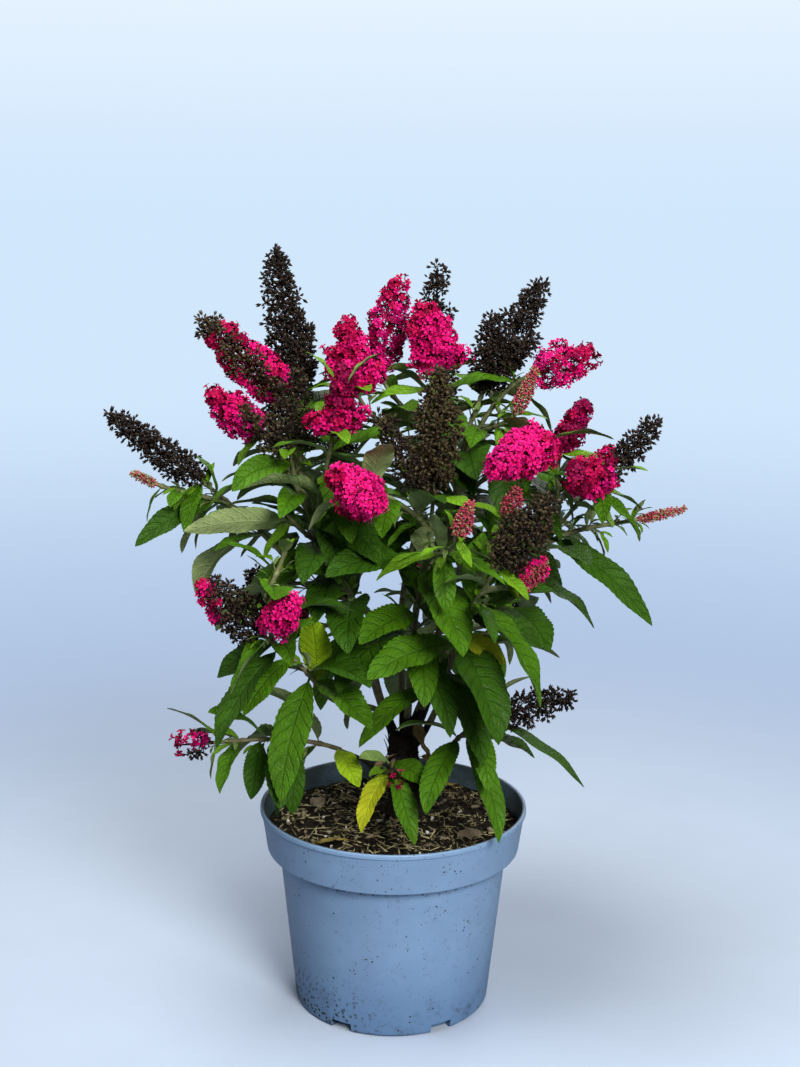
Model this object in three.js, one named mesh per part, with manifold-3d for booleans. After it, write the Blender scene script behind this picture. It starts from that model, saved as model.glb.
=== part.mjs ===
// A butterfly bush in its growing pot: a short woody stump, the boughs that rise from it, and on each
// bough a mass of foliage, twigs in leaf that end in flower heads.
//
// Millimetres, +Z up, +X to the right and +Y to the back. The origin is the centre of the pot's flat
// underside. Bearings are in degrees round the stump, from +X towards +Y.

import * as THREE from "three";
import { mergeVertices } from "three/addons/utils/BufferGeometryUtils.js";
import Module from "manifold-3d";

const wasm = await Module();
wasm.setup();

// ---------------------------------------------------------------- driving sizes

const CLEAR = 0.3; // the gap between pieces that meet
const UP = new THREE.Vector3(0, 0, 1);

const POT = {
  height: 173,
  rimRadius: 113, // outside of the rolled lip
  lipHeight: 4,
  lipProud: 1.4,
  collarHeight: 36,
  collarFootRadius: 107,
  bodyRadius: 97, // just under the collar
  footRadius: 83,
  footBevel: 2,
  wall: 2,
  floor: 3,
  sides: 40,
};
const DRAIN = { count: 6, first: -60, width: 19, height: 8, depth: 9 };
const SOIL = { level: 157, mound: 1.5, moundRadius: 70 };

const STUMP = {
  foot: new THREE.Vector3(10, 24, SOIL.level + CLEAR),
  top: new THREE.Vector3(8, 20, 226),
  radius: 13.5,
  flare: 8, // added at the foot
  flareHeight: 0.22, // of the stump's height
  sides: 12,
  steps: 8,
};

const BOUGH = { sides: 6, steps: 6, tipShare: 0.62 };
const TWIG = { sides: 3, steps: 6, foot: 2.4, tip: 1.5 };
const LEAF = {
  firstNode: 13, // from the twig's end, inside its flower head, to the first pair
  internode: 21,
  shortest: 36, // beside the flower head
  longest: 86, // low on the shoot
  fullSizeAt: 85, // how far below the head a leaf has its full length
  slimmest: 0.3, // width over length
  broadest: 0.39,
  leave: 58, // degrees between a leaf and its twig
  leastFall: 36, // degrees that a leaf bends down from root to tip
  mostFall: 64,
  fold: 7, // degrees that each half is folded up from the midrib
  thickness: 0.016, // of the length, under the midrib
  rootShare: 0.2, // of the length, may cross its neighbours' roots
  // A leaf without room is tried again lifted, then lowered, and smaller each time, and then left out.
  tries: [
    { lift: 0, size: 1 },
    { lift: 18, size: 0.9 },
    { lift: -18, size: 0.75 },
  ],
  girthAt: [0.31, 0.68], // where along the leaf its outline turns
  girth: [1, 0.74],
};
const HEAD = { sides: 7, rings: 5, bump: 0.16, sink: 8 }; // sink: how far a twig runs up into it
const WELD = 0.05; // corners nearer than this in a mass are made one

// ---------------------------------------------------------------- the plant's plan
// Each bough leaves the stump on a bearing, or forks from the bough named in `from`, a share `up` of the way
// up it, and ends at `tip`, where its mass of foliage begins. Each shoot of the mass ends at `base`, in a
// flower head that reaches to `tip` or, with no `tip`, in leaf. The first shoot carries on from the bough,
// and the others leave the shoot numbered `on`, a share `at` of the way along it. `blades` are the leaves
// that stand out from the rest: the rule that grows all the others gives way to them. `roll` tips such a
// leaf over to one side, in degrees. The leaves of a `young` shoot have only that share of the full size.

const at = (x, y, z) => new THREE.Vector3(x, y, z);

const PLAN = [
  {
    name: "left_up",
    bough: { bearing: 160, up: 0.9, tip: at(-28, -14, 335), radius: 4.6 },
    shoots: [
      { base: at(-85, -26, 484), tip: at(-81, -37, 548), radius: 22, turn: 0 },
      { on: 0, at: 0.62, base: at(-92, 2, 520), tip: at(-158, -12, 584), radius: 23, turn: 45 },
      { on: 0, at: 0.7, base: at(-110, -22, 495), tip: at(-148, -34, 527), radius: 20, turn: 30 },
      { on: 0, at: 0.55, base: at(-83, 24, 520), tip: at(-101, 34, 638), radius: 21, turn: 80 },
      { on: 0, at: 0.42, base: at(-50, -66, 496), tip: at(-40, -72, 552), radius: 23, turn: 15 },
      { on: 0, at: 0.35, base: at(-88, -44, 434), turn: 0 },
    ],
    blades: [
      { on: 0, at: 0.86, tip: at(-127, -70, 454), width: 24, roll: 34 },
      { on: 0, at: 0.6, tip: at(-12, -98, 404), width: 32, roll: -24 },
      { on: 5, at: 0.7, tip: at(-168, -52, 418), width: 24, roll: -62 },
      { on: 0, at: 0.28, tip: at(-62, -80, 352), width: 30 },
    ],
  },
  {
    name: "left_low",
    bough: { from: "left_up", up: 0.22, tip: at(-62, -52, 293), radius: 3 },
    shoots: [
      { base: at(-108, -82, 347), tip: at(-149, -88, 386), radius: 23, turn: 20 },
      { on: 0, at: 0.62, base: at(-93, -106, 355), tip: at(-77, -126, 383), radius: 19, turn: 60 },
      { on: 0, at: 0.8, base: at(-84, -62, 416), turn: 0 },
    ],
    blades: [
      { on: 0, at: 0.06, tip: at(-17, -105, 274), width: 31 },
      { on: 0, at: 0.12, tip: at(-87, -112, 216), width: 32 },
      { on: 0, at: 0.01, tip: at(-66, -78, 357), width: 26 },
      { on: 0, at: 0.6, tip: at(-136, -118, 262), width: 30 },
      { on: 0, at: 0.66, tip: at(-141, -64, 302), width: 25, roll: 34 },
    ],
  },
  {
    name: "left_long",
    bough: { from: "left_up", up: 0.6, tip: at(-62, -8, 350), radius: 3 },
    shoots: [
      { base: at(-158, -12, 452), tip: at(-233, -22, 510), radius: 16, turn: 75 },
      { on: 0, at: 0.7, base: at(-192, -26, 451), tip: at(-211, -28, 461), radius: 6, turn: 10, young: 0.7 },
    ],
    blades: [
      { on: 1, at: 0.2, tip: at(-208, -40, 403), width: 23, roll: 28 },
      { on: 0, at: 0.94, tip: at(-167, -44, 414), width: 16 },
      { on: 0, at: 0.5, tip: at(-146, -34, 398), width: 18 },
    ],
  },
  {
    name: "centre",
    bough: { bearing: 285, up: 1, tip: at(14, -32, 318), radius: 3.6 },
    shoots: [
      { base: at(29, -72, 455), tip: at(32, -84, 557), radius: 25, turn: 30 },
      { on: 0, at: 0.72, base: at(-32, -110, 467), tip: at(-20, -160, 462), radius: 24, turn: 50 },
      { on: 0, at: 0.5, base: at(46, -146, 437), tip: at(54, -156, 465), radius: 10, turn: 0, young: 0.6 },
    ],
    blades: [
      { on: 0, at: 0.5, tip: at(51, -142, 344), width: 38 },
      { on: 0, at: 0.22, tip: at(-27, -104, 342), width: 32, roll: 24 },
      { on: 0, at: 0.03, tip: at(44, -100, 266), width: 26 },
      { on: 0, at: 0.12, tip: at(24, -92, 288), width: 27 },
      { on: 2, at: 0.45, tip: at(-14, -118, 396), width: 18, roll: 22 },
      { on: 2, at: 0.55, tip: at(81, -148, 401), width: 18 },
    ],
  },
  {
    name: "right_mid",
    bough: { bearing: 315, up: 0.72, tip: at(40, -30, 284), radius: 3.6 },
    shoots: [
      { base: at(78, -128, 412), tip: at(116, -136, 468), radius: 20, turn: 0 },
      { on: 0, at: 0.78, base: at(90, -120, 393), tip: at(113, -128, 415), radius: 12, turn: 80, young: 0.6 },
      { on: 0, at: 0.6, base: at(85, -100, 443), tip: at(91, -109, 467), radius: 11, turn: 40, young: 0.6 },
    ],
    blades: [
      { on: 0, at: 0.36, tip: at(-21, -112, 316), width: 33, roll: 24 },
      { on: 0, at: 0.72, tip: at(110, -138, 304), width: 33 },
      { on: 0, at: 0.6, tip: at(114, -98, 338), width: 28, roll: -28 },
      { on: 0, at: 0.14, tip: at(70, -100, 242), width: 28 },
      { on: 0, at: 0.05, tip: at(-27, -94, 255), width: 29 },
      { on: 0, at: 0.42, tip: at(87, -84, 322), width: 22, roll: -24 },
      { on: 0, at: 0.1, tip: at(88, -92, 284), width: 25 },
    ],
  },
  {
    name: "right_low",
    bough: { bearing: 330, up: 0.35, tip: at(48, -30, 236), radius: 2.6 },
    shoots: [
      { base: at(84, -62, 272), tip: at(144, -66, 291), radius: 16, turn: 45 },
    ],
    blades: [
      { on: 0, at: 0.7, tip: at(152, -84, 220), width: 19 },
      { on: 0, at: 0.3, tip: at(84, -98, 178), width: 22 },
      { on: 0, at: 0.14, tip: at(26, -100, 202), width: 24 },
    ],
  },
  {
    name: "front_low",
    bough: { bearing: 262, up: 0.62, tip: at(0, -28, 221), radius: 2.4 },
    shoots: [
      { base: at(-3, -56, 219), tip: at(5, -73, 221), radius: 6, turn: 35, young: 0.6 },
    ],
    blades: [
      { on: 0, at: 0.5, tip: at(18, -84, 170), width: 21 },
      { on: 0, at: 0.5, tip: at(-25, -82, 179), width: 20 },
      { on: 0, at: 0.2, tip: at(30, -72, 215), width: 20, roll: -20 },
      { on: 0, at: 0.3, tip: at(-28, -60, 234), width: 14, roll: 24 },
    ],
  },
  {
    name: "left_twig",
    bough: { bearing: 200, up: 0.3, tip: at(-44, -18, 226), radius: 2.2 },
    shoots: [
      { base: at(-145, -62, 247), tip: at(-177, -64, 245), radius: 15, turn: 0 },
    ],
    blades: [
      { on: 0, at: 0.62, tip: at(-114, -76, 204), width: 20 },
      { on: 0, at: 0.4, tip: at(-82, -62, 186), width: 22 },
      { on: 0, at: 0.03, tip: at(-28, -52, 206), width: 21 },
    ],
  },
  {
    name: "top",
    bough: { bearing: 90, up: 1, tip: at(6, 30, 345), radius: 3.8 },
    shoots: [
      { base: at(34, -4, 543), tip: at(20, -24, 598), radius: 26, turn: 10 },
      { on: 0, at: 0.6, base: at(-15, 20, 542), tip: at(1, 18, 614), radius: 20, turn: 70 },
      { on: 0, at: 0.5, base: at(-34, -22, 526), tip: at(-42, -30, 588), radius: 21, turn: 40 },
      { on: 0, at: 0.45, base: at(31, 74, 529), tip: at(33, 80, 625), radius: 18, turn: 50 },
    ],
  },
  {
    name: "right_up",
    bough: { bearing: 20, up: 1, tip: at(40, 8, 345), radius: 4.2 },
    shoots: [
      { base: at(71, 28, 522), tip: at(119, 32, 615), radius: 24, turn: 35 },
      { on: 0, at: 0.7, base: at(95, -18, 510), tip: at(110, -20, 548), radius: 9, turn: 65, young: 0.7 },
      { on: 0, at: 0.6, base: at(114, 12, 541), tip: at(158, 10, 553), radius: 22, turn: 0 },
      { on: 0, at: 0.4, base: at(115, -64, 493), tip: at(70, -128, 485), radius: 24, turn: 25 },
    ],
  },
  {
    name: "right_outer",
    bough: { from: "right_up", up: 0.5, tip: at(84, -6, 336), radius: 3.2 },
    shoots: [
      { base: at(160, -16, 452), tip: at(212, -22, 510), radius: 13, turn: 15 },
      { on: 0, at: 0.85, base: at(160, -54, 468), tip: at(136, -94, 470), radius: 22, turn: 60 },
      { on: 0, at: 0.6, base: at(133, 0, 478), tip: at(152, -8, 519), radius: 16, turn: 30 },
      { on: 0, at: 0.5, base: at(197, -10, 423), tip: at(236, -12, 433), radius: 6, turn: 5, young: 0.42 },
    ],
    blades: [
      { on: 0, at: 0.56, tip: at(207, -42, 342), width: 26, roll: -38 },
    ],
  },
  {
    name: "back_left",
    bough: { bearing: 122, up: 0.75, tip: at(-34, 64, 305), radius: 3.6 },
    shoots: [
      { base: at(-92, 132, 448), tip: at(-118, 156, 528), radius: 19, turn: 30 },
      { on: 0, at: 0.5, base: at(-52, 146, 446), tip: at(-52, 172, 508), radius: 22, turn: 70 },
      { on: 0, at: 0.2, base: at(-114, 104, 336), tip: at(-132, 140, 332), radius: 18, turn: 0 },
    ],
  },
  {
    name: "back_right",
    bough: { bearing: 52, up: 0.75, tip: at(50, 66, 305), radius: 3.6 },
    shoots: [
      { base: at(96, 126, 416), tip: at(112, 152, 474), radius: 21, turn: 55 },
      { on: 0, at: 0.5, base: at(38, 152, 446), tip: at(46, 178, 528), radius: 18, turn: 10 },
      { on: 0, at: 0.35, base: at(146, 78, 424), tip: at(188, 96, 462), radius: 18, turn: 35 },
    ],
  },
  {
    name: "back_low",
    bough: { bearing: 85, up: 0.3, tip: at(14, 76, 250), radius: 2.6 },
    shoots: [
      { base: at(20, 150, 326), tip: at(24, 184, 350), radius: 14, turn: 20 },
      { on: 0, at: 0.3, base: at(-84, 128, 300), tip: at(-112, 150, 316), radius: 15, turn: 60 },
      { on: 0, at: 0.35, base: at(92, 118, 300), tip: at(122, 134, 322), radius: 15, turn: 0 },
    ],
  },
];

// ---------------------------------------------------------------- helpers

const radians = THREE.MathUtils.degToRad;
const lerp = THREE.MathUtils.lerp;

// Chance variation that is the same in every build, from 0 up to 1.
function seeded(seed) {
  let state = seed >>> 0;
  return () => {
    state = (Math.imul(state, 1664525) + 1013904223) >>> 0;
    return state / 4294967296;
  };
}

// A closed geometry whose shared vertices are one, each then moved to where `place` puts it.
function shaped(geometry, place) {
  geometry.deleteAttribute("normal");
  geometry.deleteAttribute("uv");
  const merged = mergeVertices(geometry);
  const position = merged.getAttribute("position");
  const point = new THREE.Vector3();
  for (let i = 0; i < position.count; i++) {
    point.fromBufferAttribute(position, i);
    const moved = place(point);
    position.setXYZ(i, moved.x, moved.y, moved.z);
  }
  return merged;
}

function solidOf(geometry) {
  return new wasm.Manifold(
    new wasm.Mesh({
      numProp: 3,
      vertProperties: geometry.getAttribute("position").array,
      triVerts: new Uint32Array(geometry.index.array),
    }),
  );
}

function geometryOf(solid) {
  const mesh = solid.getMesh();
  const geometry = new THREE.BufferGeometry();
  geometry.setAttribute("position", new THREE.BufferAttribute(mesh.vertProperties, 3));
  geometry.setIndex(new THREE.BufferAttribute(mesh.triVerts, 1));
  geometry.computeVertexNormals();
  return geometry;
}

// The line of a limb: evenly spaced stations, each with its place, its heading and two directions across.
function lineOf(start, leave, end, arrive, steps, ease = 0.36) {
  const reach = start.distanceTo(end) * ease;
  const curve = new THREE.CubicBezierCurve3(
    start,
    start.clone().addScaledVector(leave, reach),
    end.clone().addScaledVector(arrive, -reach),
    end,
  );
  const stations = [];
  let across = Math.abs(leave.z) < 0.9 ? at(0, 0, 1) : at(0, 1, 0);
  let along = 0;
  for (let i = 0; i <= steps; i++) {
    const place = curve.getPoint(i / steps);
    const heading = curve.getTangent(i / steps);
    across = across.clone().addScaledVector(heading, -across.dot(heading)).normalize();
    if (i > 0) along += place.distanceTo(stations[i - 1].place);
    stations.push({ place, heading, across, over: heading.clone().cross(across), along });
  }
  return stations;
}

// The station a given length along a line, worked out between its neighbours.
function stationAt(line, along) {
  let i = 1;
  while (i < line.length - 1 && line[i].along < along) i++;
  const [a, b] = [line[i - 1], line[i]];
  const share = (along - a.along) / (b.along - a.along);
  const mix = (key) => a[key].clone().lerp(b[key], share);
  return {
    place: mix("place"),
    heading: mix("heading").normalize(),
    across: mix("across").normalize(),
    over: mix("over").normalize(),
  };
}

const lengthOf = (line) => line[line.length - 1].along;

// A limb round a line, closed at both ends, `radiusAt` giving its radius from 0 at the foot to 1 at the tip.
function limb(line, sides, radiusAt) {
  const steps = line.length - 1;
  const tube = new THREE.CylinderGeometry(1, 1, 1, sides, steps);
  return shaped(tube, ({ x, y, z }) => {
    const share = y + 0.5;
    const { place, across, over } = line[Math.round(share * steps)];
    const radius = radiusAt(share);
    return place.clone().addScaledVector(across, x * radius).addScaledVector(over, -z * radius);
  });
}

// ---------------------------------------------------------------- pot and soil

// The pot's wall in section, from the middle of its underside round its lip to the middle of its floor.
function potProfile() {
  const { height, rimRadius, lipHeight, lipProud, wall, floor } = POT;
  const collarFoot = height - POT.collarHeight;
  const collarTop = rimRadius - lipProud;
  const outside = [
    [0, 0],
    [POT.footRadius - POT.footBevel, 0],
    [POT.footRadius, POT.footBevel],
    [POT.bodyRadius, collarFoot],
    [POT.collarFootRadius, collarFoot],
    [collarTop, height - lipHeight],
    [rimRadius, height - lipHeight],
    [rimRadius, height],
  ];
  const inside = [
    [collarTop - wall, height],
    [POT.collarFootRadius - wall, collarFoot + wall],
    [POT.bodyRadius - wall, collarFoot + wall],
    [POT.footRadius - wall, floor],
    [0, floor],
  ];
  return [...outside, ...inside].map(([r, z]) => new THREE.Vector2(r, z));
}

// A body turned round Z from a section that starts and ends on the axis.
function turned(section, sides) {
  const lathe = new THREE.LatheGeometry(section, sides);
  return shaped(lathe, ({ x, y, z }) => at(x, -z, y));
}

function drainNotch(bearing) {
  const turn = new THREE.Matrix4().makeRotationZ(radians(bearing));
  const out = new THREE.Matrix4().makeTranslation(POT.footRadius, 0, 0);
  const box = new THREE.BoxGeometry(2 * DRAIN.depth, DRAIN.width, 2 * DRAIN.height);
  return shaped(box.applyMatrix4(turn.multiply(out)), (point) => point.clone());
}

function makePot() {
  let pot = solidOf(turned(potProfile(), POT.sides));
  for (let i = 0; i < DRAIN.count; i++) {
    const bearing = DRAIN.first + (i * 360) / DRAIN.count;
    pot = pot.subtract(solidOf(drainNotch(bearing)));
  }
  return pot;
}

// The compost fills the pot, clear of its wall, and is mounded a little towards the stump.
function makeSoil() {
  const { wall, floor, bodyRadius, footRadius, collarFootRadius, rimRadius, lipProud, height } = POT;
  const ledge = height - POT.collarHeight + wall;
  const skin = wall + 2 * CLEAR;
  const slope = (rimRadius - lipProud - collarFootRadius) / (height - ledge);
  const edgeLevel = SOIL.level - SOIL.mound;
  const section = [
    [0, floor + CLEAR],
    [footRadius - skin, floor + CLEAR],
    [bodyRadius - skin, ledge + CLEAR],
    [collarFootRadius - skin, ledge + CLEAR],
    [collarFootRadius - skin + (edgeLevel - ledge) * slope, edgeLevel],
    [SOIL.moundRadius, SOIL.level],
    [0, SOIL.level],
  ];
  return solidOf(turned(section.map(([r, z]) => new THREE.Vector2(r, z)), POT.sides));
}

// ---------------------------------------------------------------- stump and boughs

const stumpLine = lineOf(STUMP.foot, UP, STUMP.top, UP, STUMP.steps);

function stumpRadius(share) {
  const flare = Math.max(0, 1 - share / STUMP.flareHeight);
  return STUMP.radius * (1 - 0.12 * share) + STUMP.flare * flare * flare;
}

const makeStump = (extra) =>
  solidOf(limb(stumpLine, STUMP.sides, (share) => stumpRadius(share) + extra));

// A bough starts inside the stump or bough that bears it.
function boughLine({ bearing, from, up, tip }, towards, lines) {
  const bearer = from ? lines.get(from) : stumpLine;
  const foot = stationAt(bearer, up * (from ? 1 : 0.93) * lengthOf(bearer));
  const leave = tip.clone().sub(foot.place).normalize().add(foot.heading);
  if (!from) leave.set(Math.cos(radians(bearing)), Math.sin(radians(bearing)), lerp(0.35, 1.5, up));
  const arrive = towards.clone().sub(tip).normalize().addScaledVector(UP, 0.3).normalize();
  return lineOf(foot.place, leave.normalize(), tip, arrive, BOUGH.steps);
}

const boughSolid = (line, radius, extra) =>
  solidOf(limb(line, BOUGH.sides, (share) => radius * lerp(1, BOUGH.tipShare, share) + extra));

// The biggest piece of a solid, without what a cut leaves over and with any pocket inside it filled.
const wholeOf = (solid) => solid.decompose().sort((a, b) => b.volume() - a.volume())[0];

// ---------------------------------------------------------------- shoots, leaves and heads

// The shoots of one mass, in the order of its plan. A shoot ends a little way up inside its flower head.
function shootLines(mass, bough) {
  const lines = [];
  for (const { on, at: share, base, tip } of mass.shoots) {
    const first = on === undefined;
    const from = first ? bough[bough.length - 1] : stationAt(lines[on], share * lengthOf(lines[on]));
    const ahead = base.clone().sub(from.place).normalize();
    const arrive = tip ? tip.clone().sub(base) : ahead.clone().addScaledVector(UP, 0.4);
    arrive.normalize();
    const start = from.place.clone().addScaledVector(from.heading, first ? CLEAR : 0);
    const leave = first ? from.heading : ahead.add(from.heading).normalize();
    const end = base.clone().addScaledVector(arrive, tip ? HEAD.sink : 0);
    lines.push(lineOf(start, leave, end, arrive, TWIG.steps));
  }
  return lines;
}

// The leaves of a shoot: pairs, each pair turned a quarter from the last, longer and broader lower down.
function leavesOf(line, { turn, young = 1 }, seed) {
  const chance = seeded(seed);
  const spread = (share) => 1 + share * (2 * chance() - 1);
  const leaves = [];
  const length = lengthOf(line);
  let down = LEAF.firstNode;
  for (let node = 0; down < length - 6; node++) {
    const station = stationAt(line, length - down);
    const grown = Math.min(1, down / LEAF.fullSizeAt) ** 0.8;
    for (const side of [0, 180]) {
      const round = radians(turn + node * 90 + side + 24 * (chance() - 0.5));
      const out = station.across.clone().multiplyScalar(Math.cos(round));
      out.addScaledVector(station.over, Math.sin(round));
      const leave = radians(LEAF.leave * spread(0.2));
      const heading = out.multiplyScalar(Math.sin(leave));
      heading.addScaledVector(station.heading, Math.cos(leave)).normalize();
      const size = young * lerp(LEAF.shortest, LEAF.longest, grown) * spread(0.16);
      leaves.push({
        root: station.place,
        bearing: Math.atan2(heading.y, heading.x),
        rise: Math.asin(heading.z),
        fall: radians(lerp(LEAF.leastFall, LEAF.mostFall, grown) * spread(0.25)),
        roll: radians(22 * (2 * chance() - 1)),
        length: size,
        width: size * lerp(LEAF.slimmest, LEAF.broadest, grown) * spread(0.1),
      });
    }
    down += LEAF.internode * lerp(0.8, 1.25, grown) * spread(0.15);
  }
  return leaves;
}

// A leaf told by where its tip is.
function bladeOf(line, { at: share, tip, width, roll = 0 }) {
  const root = stationAt(line, share * lengthOf(line)).place;
  const chord = tip.clone().sub(root);
  const fall = radians(LEAF.leastFall);
  return {
    root,
    bearing: Math.atan2(chord.y, chord.x),
    rise: Math.asin(chord.z / chord.length()) + fall / 2,
    fall,
    roll: radians(roll),
    length: (chord.length() * (fall / 2)) / Math.sin(fall / 2),
    width,
  };
}

// The midrib bends evenly from its rise at the root towards straight down.
function midrib({ root, bearing, rise, fall, roll, length }, share) {
  const steepest = radians(-86);
  const bend = Math.max(rise - fall, steepest) - rise;
  const angle = rise + bend * share;
  const flat = Math.abs(bend) < 1e-3;
  const ahead = length * (flat ? share * Math.cos(rise) : (Math.sin(angle) - Math.sin(rise)) / bend);
  const above = length * (flat ? share * Math.sin(rise) : (Math.cos(rise) - Math.cos(angle)) / bend);
  const [c, s] = [Math.cos(bearing), Math.sin(bearing)];
  const face = at(-Math.sin(angle) * c, -Math.sin(angle) * s, Math.cos(angle));
  const side = at(s, -c, 0);
  return {
    place: at(root.x + ahead * c, root.y + ahead * s, root.z + above),
    side: side.clone().multiplyScalar(Math.cos(roll)).addScaledVector(face, Math.sin(roll)),
    face: face.clone().multiplyScalar(Math.cos(roll)).addScaledVector(side, -Math.sin(roll)),
  };
}

// A leaf is a flattened spindle with a left edge, a right edge and a keel, and two rings. `extra` fattens it
// and `start` leaves out its root.
function leafSolid(leaf, extra = 0, start = 0) {
  const spindle = new THREE.SphereGeometry(1, 3, 3);
  const fold = radians(LEAF.fold);
  const keel = leaf.length * LEAF.thickness + extra;
  return solidOf(
    shaped(spindle, ({ x, y, z }) => {
      if (Math.abs(y) > 0.9) return midrib(leaf, y > 0 ? start : 1).place;
      const ring = y > 0 ? 0 : 1;
      const { place, side, face } = midrib(leaf, LEAF.girthAt[ring]);
      const width = (leaf.width / 2) * LEAF.girth[ring] + extra;
      if (Math.abs(z) < 0.1) return place.addScaledVector(face, -keel);
      return place
        .addScaledVector(side, Math.sign(z) * width * Math.cos(fold))
        .addScaledVector(face, width * Math.sin(fold) + extra);
    }),
  );
}

// A flower head is a blunt cone, widest a quarter of the way up, knobbly with its clusters of florets.
function headSolid({ base, tip, radius }, seed) {
  const chance = seeded(seed);
  const axis = tip.clone().sub(base);
  const length = axis.length();
  axis.normalize();
  const across = (Math.abs(axis.z) < 0.9 ? at(0, 0, 1) : at(1, 0, 0)).cross(axis).normalize();
  const over = axis.clone().cross(across);
  const ball = new THREE.SphereGeometry(1, HEAD.sides, HEAD.rings);
  return solidOf(
    shaped(ball, ({ x, y, z }) => {
      const share = (1 - y) / 2;
      const round = Math.hypot(x, z);
      const cone = round < 1e-6 ? 0 : round ** 0.7 * lerp(1.12, 0.62, share);
      const knob = 1 + HEAD.bump * (2 * chance() - 1);
      const reach = radius * cone * knob;
      const turn = Math.atan2(z, x);
      return base
        .clone()
        .addScaledVector(axis, length * share)
        .addScaledVector(across, reach * Math.cos(turn))
        .addScaledVector(over, reach * Math.sin(turn));
    }),
  );
}

// ---------------------------------------------------------------- keeping pieces apart

const taken = []; // { owner, solid, box } for all that is already there

function boxOf(solid) {
  const { min, max } = solid.boundingBox();
  return new THREE.Box3(at(...min), at(...max));
}

function take(owner, solid) {
  taken.push({ owner, solid, box: boxOf(solid) });
  return solid;
}

function isFree(solid, owner = null) {
  const box = boxOf(solid);
  return taken.every(
    (other) =>
      other.owner === owner ||
      !other.box.intersectsBox(box) ||
      solid.intersect(other.solid).isEmpty(),
  );
}

// ---------------------------------------------------------------- assembly

const FINISH = {
  pot: new THREE.MeshStandardMaterial({ color: 0x6f8cb4, roughness: 0.45, metalness: 0 }),
  soil: new THREE.MeshStandardMaterial({ color: 0x2c231a, roughness: 0.95, metalness: 0 }),
  bark: new THREE.MeshStandardMaterial({ color: 0x4a3a2a, roughness: 0.9, metalness: 0 }),
  foliage: new THREE.MeshStandardMaterial({ color: 0x3a6b25, roughness: 0.6, metalness: 0 }),
};

const bush = new THREE.Group();

function addPart(name, solid, finish) {
  const mesh = new THREE.Mesh(geometryOf(solid), FINISH[finish]);
  mesh.name = name;
  bush.add(mesh);
}

addPart("pot", take("pot", makePot()), "pot");
addPart("soil", take("soil", makeSoil()), "soil");
addPart("stump", take("stump", makeStump(0)), "bark");

const rooms = [makeStump(CLEAR)];
const boughLines = new Map();
for (const { name, bough, shoots } of PLAN) {
  const line = boughLine(bough, shoots[0].base, boughLines);
  boughLines.set(name, line);
  const solid = wholeOf(boughSolid(line, bough.radius, 0).subtract(wasm.Manifold.union(rooms)));
  rooms.push(boughSolid(line, bough.radius, CLEAR));
  addPart(`bough_${name}`, take(`bough_${name}`, solid), "bark");
}

// The twigs and heads of every mass come first, then the leaves that stand out, then all the others.
const masses = PLAN.map((mass, index) => {
  const lines = shootLines(mass, boughLines.get(mass.name));
  const foot = (i) => (i === 0 ? mass.bough.radius * BOUGH.tipShare : TWIG.foot);
  const twigs = lines.map((line, i) =>
    solidOf(limb(line, TWIG.sides, (share) => lerp(foot(i), TWIG.tip, share))),
  );
  const heads = mass.shoots.filter(({ tip }) => tip).map((shoot, i) => headSolid(shoot, 100 * index + i));
  const pieces = [...twigs, ...heads];
  pieces.forEach((piece) => take(mass.name, piece));
  return { mass, index, lines, pieces };
});

function addLeaf({ mass, pieces }, leaf) {
  for (const { lift, size } of LEAF.tries) {
    const { rise, length, width } = leaf;
    const tried = { ...leaf, rise: rise + radians(lift), length: length * size, width: width * size };
    if (isFree(leafSolid(tried, CLEAR), mass.name) && isFree(leafSolid(tried, 0, LEAF.rootShare))) {
      pieces.push(take(mass.name, leafSolid(tried)));
      return;
    }
  }
}

for (const group of masses)
  for (const blade of group.mass.blades ?? []) addLeaf(group, bladeOf(group.lines[blade.on], blade));

for (const group of masses) {
  const { mass, index, lines, pieces } = group;
  lines.forEach((line, i) => {
    const leaves = leavesOf(line, mass.shoots[i], 1000 + 100 * index + i);
    leaves.forEach((leaf) => addLeaf(group, leaf));
  });
  const joined = wasm.Manifold.union(pieces).simplify(WELD);
  addPart(`foliage_${mass.name}`, wholeOf(joined), "foliage");
}

export default bush;
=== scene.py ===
# %% [markdown]
# # A butterfly bush in its growing pot
# The bush is grown in the same order as a real one: a pot, compost, a short woody stump, boughs, leafy
# shoots, and on the end of each shoot a flower head. Some heads are in full bloom, some are in bud, and
# some have finished and dried to dark brown. The plant's lengths are in millimetres, and become metres only
# where a mesh is made. The camera, the lamps and the places inside a finish are in metres. The solid model
# of the plant is loaded first, and each piece stays in its place.

# %% Load the solid model
import math

import bpy
import numpy as np
from mathutils import Matrix, Vector, noise
from mathutils.bvhtree import BVHTree


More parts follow.
